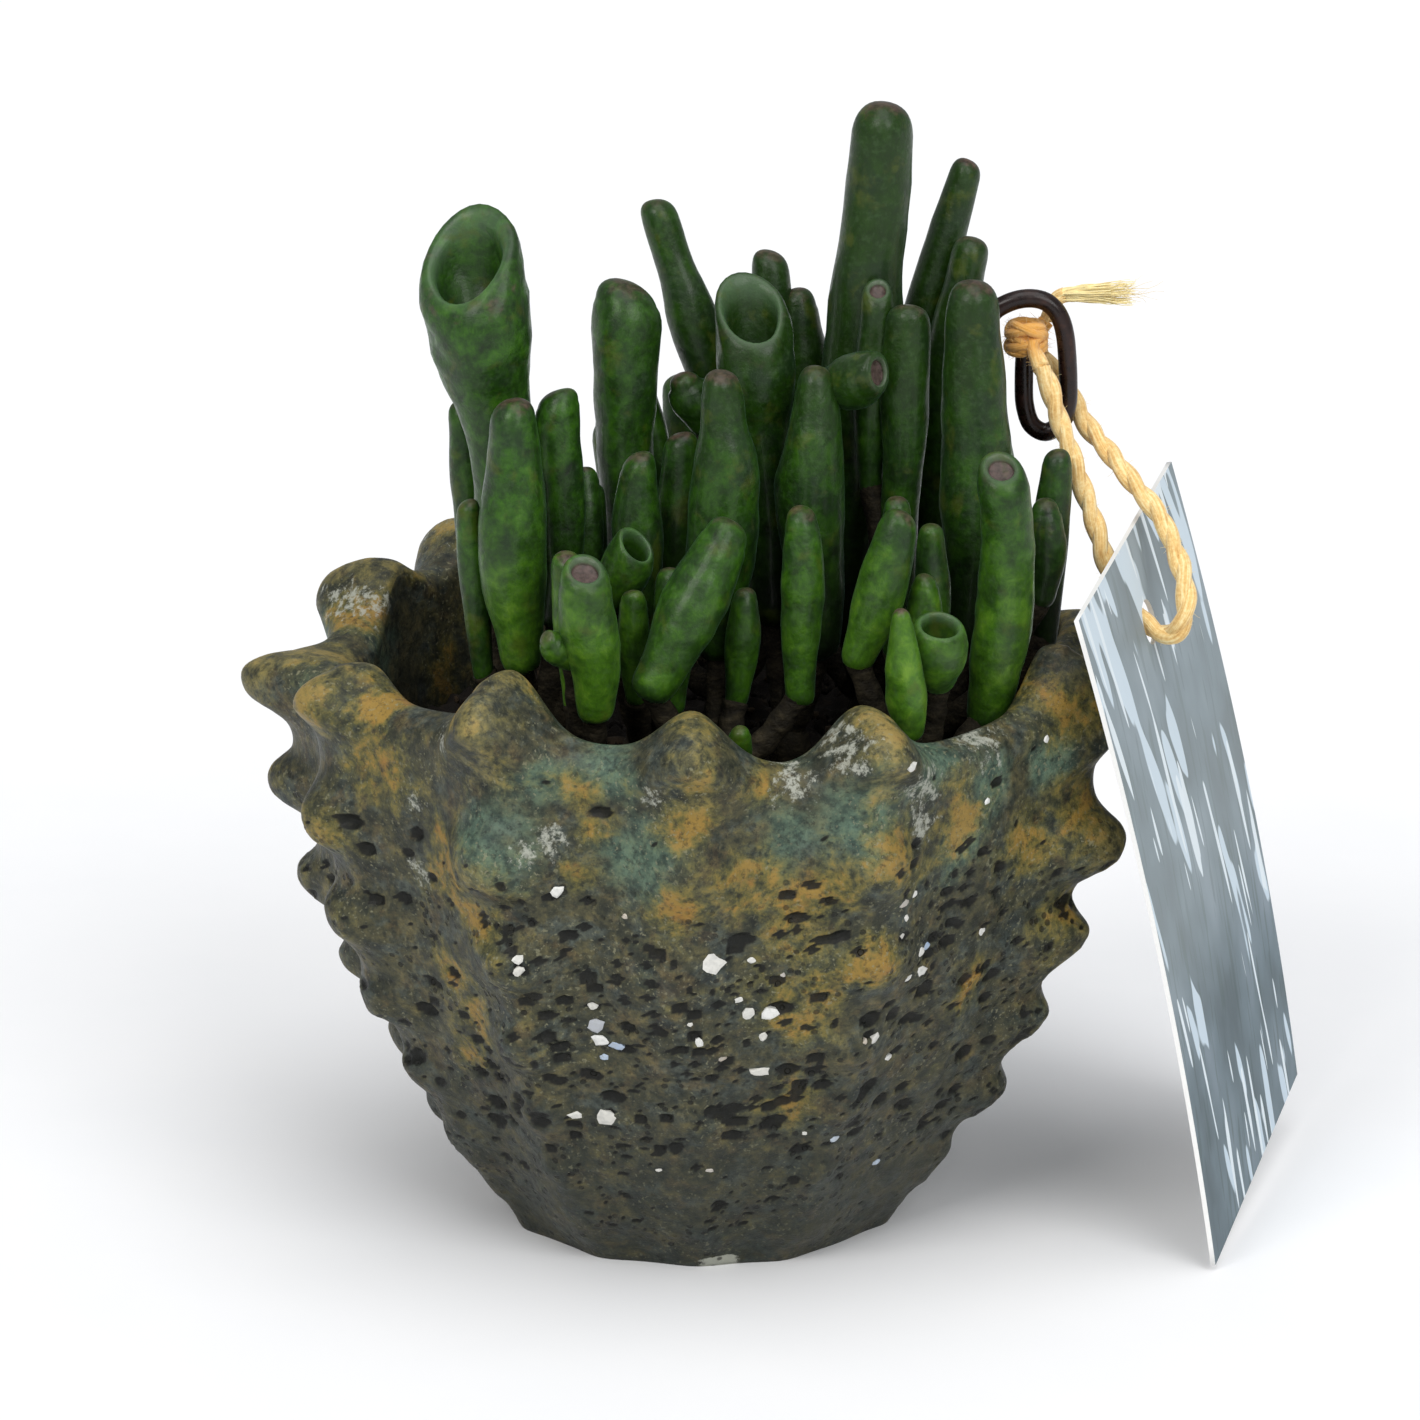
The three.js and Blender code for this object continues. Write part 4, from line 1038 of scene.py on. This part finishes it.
def soil_surface():
    s = Surface("potting_mix", {"Specular IOR Level": 0.2})
    grain = s.noise(1.6, 5, 0.7)
    color = s.ramp(grain, [(0.3, (12, 10, 8)), (0.5, (22, 18, 14)), (0.72, (40, 32, 24))])
    color = s.mix(s.times(s.range(s.form[1], 0.75, 0.9), s.form[2]), color, (56, 46, 34))
    return s.finish(color, 0.95, s.bump(grain, 0.5))


# Hook

WIRE_ROWS = 260
WIRE_SIDES = 20


def make_hook(surface):
    line = curve_through(HOOK_ROUTE, WIRE_ROWS)
    radius = np.full(len(line), WIRE_DIAMETER / 2)
    radius[-3:] *= [0.96, 0.8, 0.5]
    shape = Shape()
    shape.add_rings(tube(line, radius, WIRE_SIDES))
    shape.build("wire_hook", [surface], replaces="hook")


def wire_surface():
    s = Surface("lacquered_wire", {"Specular IOR Level": 0.3, "Coat Weight": 0.12, "Coat Roughness": 0.1})
    wear = s.noise(1.5, 4, 0.6)
    color = s.ramp(wear, [(0.35, (20, 11, 10)), (0.6, (38, 22, 18)), (0.8, (66, 40, 30))])
    return s.finish(color, s.range(wear, 0.3, 0.7, 0.22, 0.42), s.bump(wear, 0.05))


# Twine

PLY_OFFSET = 0.36
PLY_RADIUS = 0.96
TWIST_LENGTH = 8.8  # along the twine for a whole turn of its two plies
TWINE_ROWS = 420
PLY_SIDES = 12
KNOT_ROWS = 150
KNOT_CORE = 2  # radius of the knot's inner turns
CORE_ROWS = 11
CORE_SIDES = 20
CROSSING_ROWS = 40
TAIL_ROWS = 60
TAIL_TWISTED = 20  # rows of it before its plies come apart
STRAND_COUNT = 260
STRAND_SIDES = 4
STRAY_COUNT = 26
STRAY_FIRST, STRAY_LAST = 40, 55  # rows that stray fibres start from
FUZZ_COUNT = 700  # hairs on the loop, and as many on the knot
FIBRE_ROWS = 6
FIBRE_SIDES = 3
SHADE_LENGTH = 50  # of the pattern along the twine, from which loose fibres take their shades


def ply_lines(line, offset, phase=0.0):
    """The lines of the two plies twisted round a line."""
    travelled = distance_along(line)
    across, upwards = frames_on(line)
    lines = []
    for ply in (0, math.pi):
        angle = math.tau * travelled / TWIST_LENGTH + phase + ply
        turned = across * np.cos(angle)[:, None] + upwards * np.sin(angle)[:, None]
        lines.append(line + turned * offset)
    return lines


def add_twine(shape, line, scale=1.0, phase=0.0, golden=0.0):
    """Two twisted plies. Their values: the way along, the way round and, below 0, how golden they are."""
    for ply in ply_lines(line, PLY_OFFSET * scale, phase):
        radius = PLY_RADIUS * scale * (1 + 0.035 * waves(ply, 2.4, 31))
        rings = tube(ply, radius, PLY_SIDES)
        values = np.zeros((*rings.shape[:2], 3))
        values[..., 0] = distance_along(ply)[:, None]
        values[..., 1] = np.abs(np.linspace(-1, 1, PLY_SIDES, endpoint=False))[None, :]
        values[..., 2] = golden
        shape.add_rings(rings, values)


def add_fibre(shape, start, way, length, thickness, random, tone=0.5):
    """One loose fibre: a thin bent tube that tapers."""
    turn = unit(random.normal(size=3))
    at = np.linspace(0, 1, FIBRE_ROWS)[:, None]
    line = start + way * length * at + turn * length * 0.3 * at ** 2
    line += 0.08 * length * np.sin(at * random.uniform(3, 8)) * unit(random.normal(size=3))
    radius = thickness * (1 - 0.6 * at[:, 0])
    shades = (random.random() * SHADE_LENGTH, random.random(), tone)
    shape.add_rings(tube(line, radius, FIBRE_SIDES), shades)


def knot_line():
    """The knot round the end of the hook's eye: five turns that rise and fall over one another."""
    turns = np.linspace(0, 5.15 * math.tau, KNOT_ROWS)
    height = 1.5 * np.sin(turns * 0.62 - 1.2)
    radius = 2.05 - 0.12 * height ** 2 + 0.16 * np.sin(turns * 1.37)
    return KNOT_PLACE + circled(radius, turns - 0.6, height)


def add_core(knot):
    """The inner turns of the knot, which show only as a dark gold between the outer ones."""
    tilt = np.linspace(-0.48, 0.48, CORE_ROWS)[:, None] * math.pi
    rings = circled(KNOT_CORE * np.cos(tilt), round_about(CORE_SIDES), 1.3 * np.sin(tilt))
    knot.add_rings(KNOT_PLACE + rings, (0, 0.4, -1))


def crossing_lines():
    """The stretches from the wrap to both ends of the loop below, the farther one also to the loose end."""
    front = [(1.7, -3.5, -2.9), (1.3, -3, -2), (0.9, -2.4, -1.2), (0.6, -1.8, -0.4)]
    behind = [(2, 3.3, -2.9), (1.7, 3.3, -1.7), (1.5, 3, -0.5), (1.9, 3, 0.5), (2.65, 3.15, 1.3)]
    return [curve_through(KNOT_PLACE + np.array(offsets), CROSSING_ROWS) for offsets in (front, behind)]


def make_knot(surface):
    knot = Shape()
    add_twine(knot, knot_line(), 0.58, golden=-1)
    for crossing in crossing_lines():
        add_twine(knot, crossing, 0.8, 1.0, golden=np.linspace(0, -1, CROSSING_ROWS)[:, None])
    add_core(knot)
    return knot.build("twine_knot", [surface], replaces="knot")


def make_frayed_end(surface, random):
    """The loose end: its plies come apart into strands that spread, with stray fibres among them."""
    line = curve_through(TAIL_ROUTE, TAIL_ROWS)
    tail = Shape()
    add_twine(tail, line[:TAIL_TWISTED], 0.72, 0.5)
    across, upwards = frames_on(line)
    for _ in range(STRAND_COUNT):
        first = random.integers(6, 22)
        last = TAIL_ROWS - int(24 * random.random())
        way = np.linspace(0, 1, TAIL_ROWS)[first:last, None]
        angle, reach = random.uniform(0, math.tau), math.sqrt(random.random())
        spread = reach * (0.55 + 1.05 * way ** 1.3) + 0.16 * np.sin(way * random.uniform(8, 16) + angle)
        spokes = across[first:last] * math.cos(angle) + upwards[first:last] * math.sin(angle) * 1.1
        strand = line[first:last] + spokes * spread
        thickness = random.uniform(0.05, 0.12) * (1 - 0.6 * way[:, 0])
        shades = (random.random() * SHADE_LENGTH, random.random(), 0.6 + 0.4 * random.random())
        tail.add_rings(tube(strand, thickness, STRAND_SIDES), shades)
    for _ in range(STRAY_COUNT):
        start = line[random.integers(STRAY_FIRST, STRAY_LAST + 1)]
        way = unit(line[STRAY_LAST] - line[STRAY_FIRST] + random.normal(size=3) * 1.3)
        add_fibre(tail, start, way, random.uniform(2, 4), random.uniform(0.03, 0.05), random)
    return tail.build("twine_frayed_end", [surface], replaces="twine_end")


def make_fuzz(surface, line, random):
    """Short hairs that stand off the loop and the knot."""
    fuzz = Shape()
    wound = np.concatenate([knot_line(), *crossing_lines()])
    for source, tone in ((line, 0.5), (wound, -0.4)):
        for _ in range(FUZZ_COUNT):
            way = unit(random.normal(size=3))
            start = source[random.integers(0, len(source))] + way * random.uniform(0.5, 0.95)
            add_fibre(fuzz, start, way, random.uniform(0.3, 1.2), random.uniform(0.02, 0.035), random, tone)
    return fuzz.build("twine_fuzz", [surface])


def make_twine(surface):
    line = curve_through(TWINE_ROUTE, TWINE_ROWS)
    loop = Shape()
    add_twine(loop, line)
    twine = loop.build("twine_loop", [surface], replaces="twine")
    random = np.random.default_rng(41)
    with_it = [make_knot(surface), make_frayed_end(surface, random), make_fuzz(surface, line, random)]


def jute_surface():
    """Straw-coloured twisted fibres, darker in the lay between them, paler where they fray."""
    s = Surface("jute", {"Specular IOR Level": 0.2, "Sheen Weight": 0.3, "Sheen Roughness": 0.5})
    travelled, around_ply, frayed = s.form
    lay = s.streaks(s.times(travelled, 0.3), s.times(around_ply, 9.0), 3.0)
    tone = s.plus(s.times(lay, 0.6), s.times(s.noise(0.5, 4, 0.7), 0.4))
    color = s.ramp(tone, [(0.32, (200, 148, 82)), (0.47, (232, 194, 126)), (0.62, (250, 228, 172))])
    color = s.mix(s.range(frayed, 0.0, 1.0, 0.0, 0.9), color, (255, 242, 184))
    color = s.mix(s.range(frayed, 0.0, -1.0, 0.0, 0.7), color, (222, 150, 48))
    return s.finish(color, 0.85, s.bump(tone, 0.16))


# Card tag

CARD_FOOT = np.array([62.9, -25.8, 0.8])
CARD_UP = unit(np.array([-0.215, -0.058, 0.975]))
CARD_BACK = np.array([0.262, 0.958, 0.113])
CARD_LENGTH = 85
CARD_WIDTH = 55
CARD_THICKNESS = 0.6
CARD_BOW = 1.5
CARD_HOLE_DIAMETER = 5.6
CARD_HOLE_ALONG = 74
HOLE_BLOCK = 4  # half the side of the square of cells round the hole


def card_layout():
    """Flat points of the card, a grid with a round hole in it, its faces, its edge and the hole's."""
    middle = CARD_WIDTH / 2
    low, high = CARD_HOLE_ALONG - HOLE_BLOCK, CARD_HOLE_ALONG + HOLE_BLOCK
    left, right = middle - HOLE_BLOCK, middle + HOLE_BLOCK
    block = np.linspace(-HOLE_BLOCK, HOLE_BLOCK, 9)
    lengthwise = [np.linspace(0, low, 29), CARD_HOLE_ALONG + block, np.linspace(high, CARD_LENGTH, 4)]
    lengthwise = np.unique(np.concatenate(lengthwise))
    sideways = [np.linspace(0, left, 11), middle + block, np.linspace(right, CARD_WIDTH, 11)]
    sideways = np.unique(np.concatenate(sideways))
    points = [(u, v) for u in lengthwise for v in sideways]
    index = {(round(u, 4), round(v, 4)): i for i, (u, v) in enumerate(points)}

    def numbers(places):
        return [index[(round(u, 4), round(v, 4))] for u, v in places]

    faces = []
    for u, next_u in zip(lengthwise, lengthwise[1:]):
        for v, next_v in zip(sideways, sideways[1:]):
            in_block = low <= (u + next_u) / 2 <= high and left <= (v + next_v) / 2 <= right
            if not in_block:
                faces.append(numbers([(u, v), (next_u, v), (next_u, next_v), (u, next_v)]))
    steps = block[:-1]
    square = [(low, middle + b) for b in steps] + [(CARD_HOLE_ALONG + b, right) for b in steps]
    square += [(high, middle - b) for b in steps] + [(CARD_HOLE_ALONG - b, left) for b in steps]
    outer = numbers(square)
    for share in (0.5, 1):
        ring = []
        for u, v in square:
            offset = np.array([u - CARD_HOLE_ALONG, v - middle])
            circle = offset / np.linalg.norm(offset) * CARD_HOLE_DIAMETER / 2
            place = offset + (circle - offset) * share
            ring.append(len(points))
            points.append((CARD_HOLE_ALONG + place[0], middle + place[1]))
        faces += [[outer[i], outer[i - 1], ring[i - 1], ring[i]] for i in range(len(ring))]
        outer = ring
    rows, columns = len(lengthwise), len(sideways)
    edge = [i * columns for i in range(rows)] + [(rows - 1) * columns + j for j in range(1, columns)]
    edge += [i * columns + columns - 1 for i in range(rows - 2, -1, -1)] + list(range(columns - 2, 0, -1))
    return np.array(points), faces, edge, outer


def make_tag(surfaces):
    """A thin bowed card: printed face, plain back, and white cut edges."""
    flat, faces, edge, hole = card_layout()
    back_way = unit(CARD_BACK - CARD_UP * (CARD_BACK @ CARD_UP))
    outwards = np.cross(back_way, CARD_UP)
    share = flat[:, 0] / CARD_LENGTH
    bulge = 4 * CARD_BOW * share * (1 - share)
    face_points = CARD_FOOT + flat[:, :1] * CARD_UP + flat[:, 1:] * back_way + bulge[:, None] * outwards
    back_points = face_points - CARD_THICKNESS * outwards
    values = np.stack([flat[:, 0] / CARD_LENGTH, flat[:, 1] / CARD_WIDTH, 0 * share], axis=-1)
    shape = Shape()
    shape.add(face_points, faces, values, material=0)
    shape.add(back_points, [face[::-1] for face in faces], values, material=1)
    for ring in (edge, hole):
        rim = np.concatenate([face_points[ring], back_points[ring]])
        n = len(ring)
        sides = [[i, (i + 1) % n, n + (i + 1) % n, n + i] for i in range(n)]
        shape.add(rim, sides, material=2)
    shape.build("card_tag", surfaces, replaces="tag")


def print_surface():
    """Print of slate blue washes with pale pointed slivers that lie along the card."""
    s = Surface("tag_print", {"Specular IOR Level": 0.12, "Roughness": 0.5})
    up, side, _ = s.form
    up = s.times(up, CARD_LENGTH)
    side = s.times(side, CARD_WIDTH)

    def pattern(scale_up, scale_side, detail, lean=0.0):
        leaning = s.plus(side, s.times(up, lean))
        return s.streaks(s.times(up, scale_up), s.times(leaning, scale_side), detail)

    wash = pattern(0.05, 0.06, 3)
    color = s.ramp(wash, [(0.35, (84, 98, 104)), (0.5, (104, 120, 128)), (0.68, (128, 142, 152))])
    color = s.mix(s.range(pattern(0.09, 0.7, 2, -0.1), 0.56, 0.62, 0.0, 0.45), color, (70, 88, 86))
    crowd = s.range(pattern(0.04, 0.05, 2, 0.2), 0.4, 0.6, -0.08, 0.05)
    ends = s.most(s.range(up, 42, 66, 0.0, 0.05), s.range(up, 22, 6, 0.0, 0.04))
    slivers = s.plus(s.plus(pattern(0.045, 0.2, 1.0, 0.16), crowd), ends)
    color = s.mix(s.range(slivers, 0.61, 0.63, 0.0, 0.9), color, (206, 222, 234))
    thin = s.plus(pattern(0.05, 0.5, 0.5, 0.1), crowd)
    color = s.mix(s.range(thin, 0.64, 0.65, 0.0, 0.95), color, (226, 236, 242))
    color = s.mix(s.range(up, 20, 45, 0.0, 0.2), color, (214, 222, 222))
    return s.finish(color)


def card_surface(name, shade):
    """Plain card of a shade, a little darker in its grain."""
    s = Surface(name, {"Roughness": 0.7})
    grain = s.noise(0.6, 4)
    light = srgb(*shade)
    darker = tuple(c * 0.9 for c in light[:3]) + (1,)
    return s.finish(s.mix(grain, darker, light), None, s.bump(grain, 0.03))


# Floor and lights

FLOOR_REACH = 3000


def make_stage():
    """The plain table that the pot stands on."""
    ways = ((-1, -1), (1, -1), (1, 1), (-1, 1))
    corners = [(across * FLOOR_REACH, back * FLOOR_REACH, 0) for across, back in ways]
    floor = Shape()
    floor.add(corners, [(0, 1, 2, 3)])
    paper = Surface("backdrop_paper", {"Roughness": 0.9, "Specular IOR Level": 0.15})
    grain = paper.noise(30, 3)
    cloth = paper.finish(paper.mix(grain, (244, 245, 247), (249, 249, 250)))
    plane = floor.build("floor", [cloth])
    plane.parent = None


def make_sun(name, turn, height, strength, spread, color=(1, 1, 1)):
    """A soft far light from a direction in degrees to the right of the camera and above the table."""
    light = bpy.data.lights.new(name, "SUN")
    light.energy = strength
    light.angle = math.radians(spread)
    light.color = color
    holder = bpy.data.objects.new(name, light)
    holder.location = (0, 0, 1)
    holder.rotation_euler = (math.radians(90 - height), 0, math.radians(turn))
    bpy.context.scene.collection.objects.link(holder)


def make_lights():
    world = bpy.data.worlds.new("studio")
    world.use_nodes = True
    world.node_tree.nodes["Background"].inputs["Color"].default_value = (0.95, 0.97, 1, 1)
    world.node_tree.nodes["Background"].inputs["Strength"].default_value = 0.4
    bpy.context.scene.world = world
    make_sun("overhead", 10, 75, 1.25, 50)
    make_sun("front_left", -34, 36, 1.0, 26, (1, 0.98, 0.95))
    make_sun("front_right", 30, 33, 1.05, 34)
    bpy.context.scene.view_settings.view_transform = "Standard"


make_camera()
make_stage()
make_lights()
make_twine(jute_surface())
make_hook(wire_surface())
POT_FORM = make_pot(glaze_surface())
make_flakes(*POT_FORM, flake_surface())
make_soil(soil_surface())
STEM_SURFACES = [leaf_surface(), bark_surface()]
for number, (stem, (foot, leaves)) in enumerate(STEMS.items()):
    make_stem(stem, foot, leaves, STEM_SURFACES, 100 * number + 3)
make_tag([
    print_surface(),
    card_surface("card_back", (214, 216, 216)),
    card_surface("card_edge", (240, 240, 238)),
])
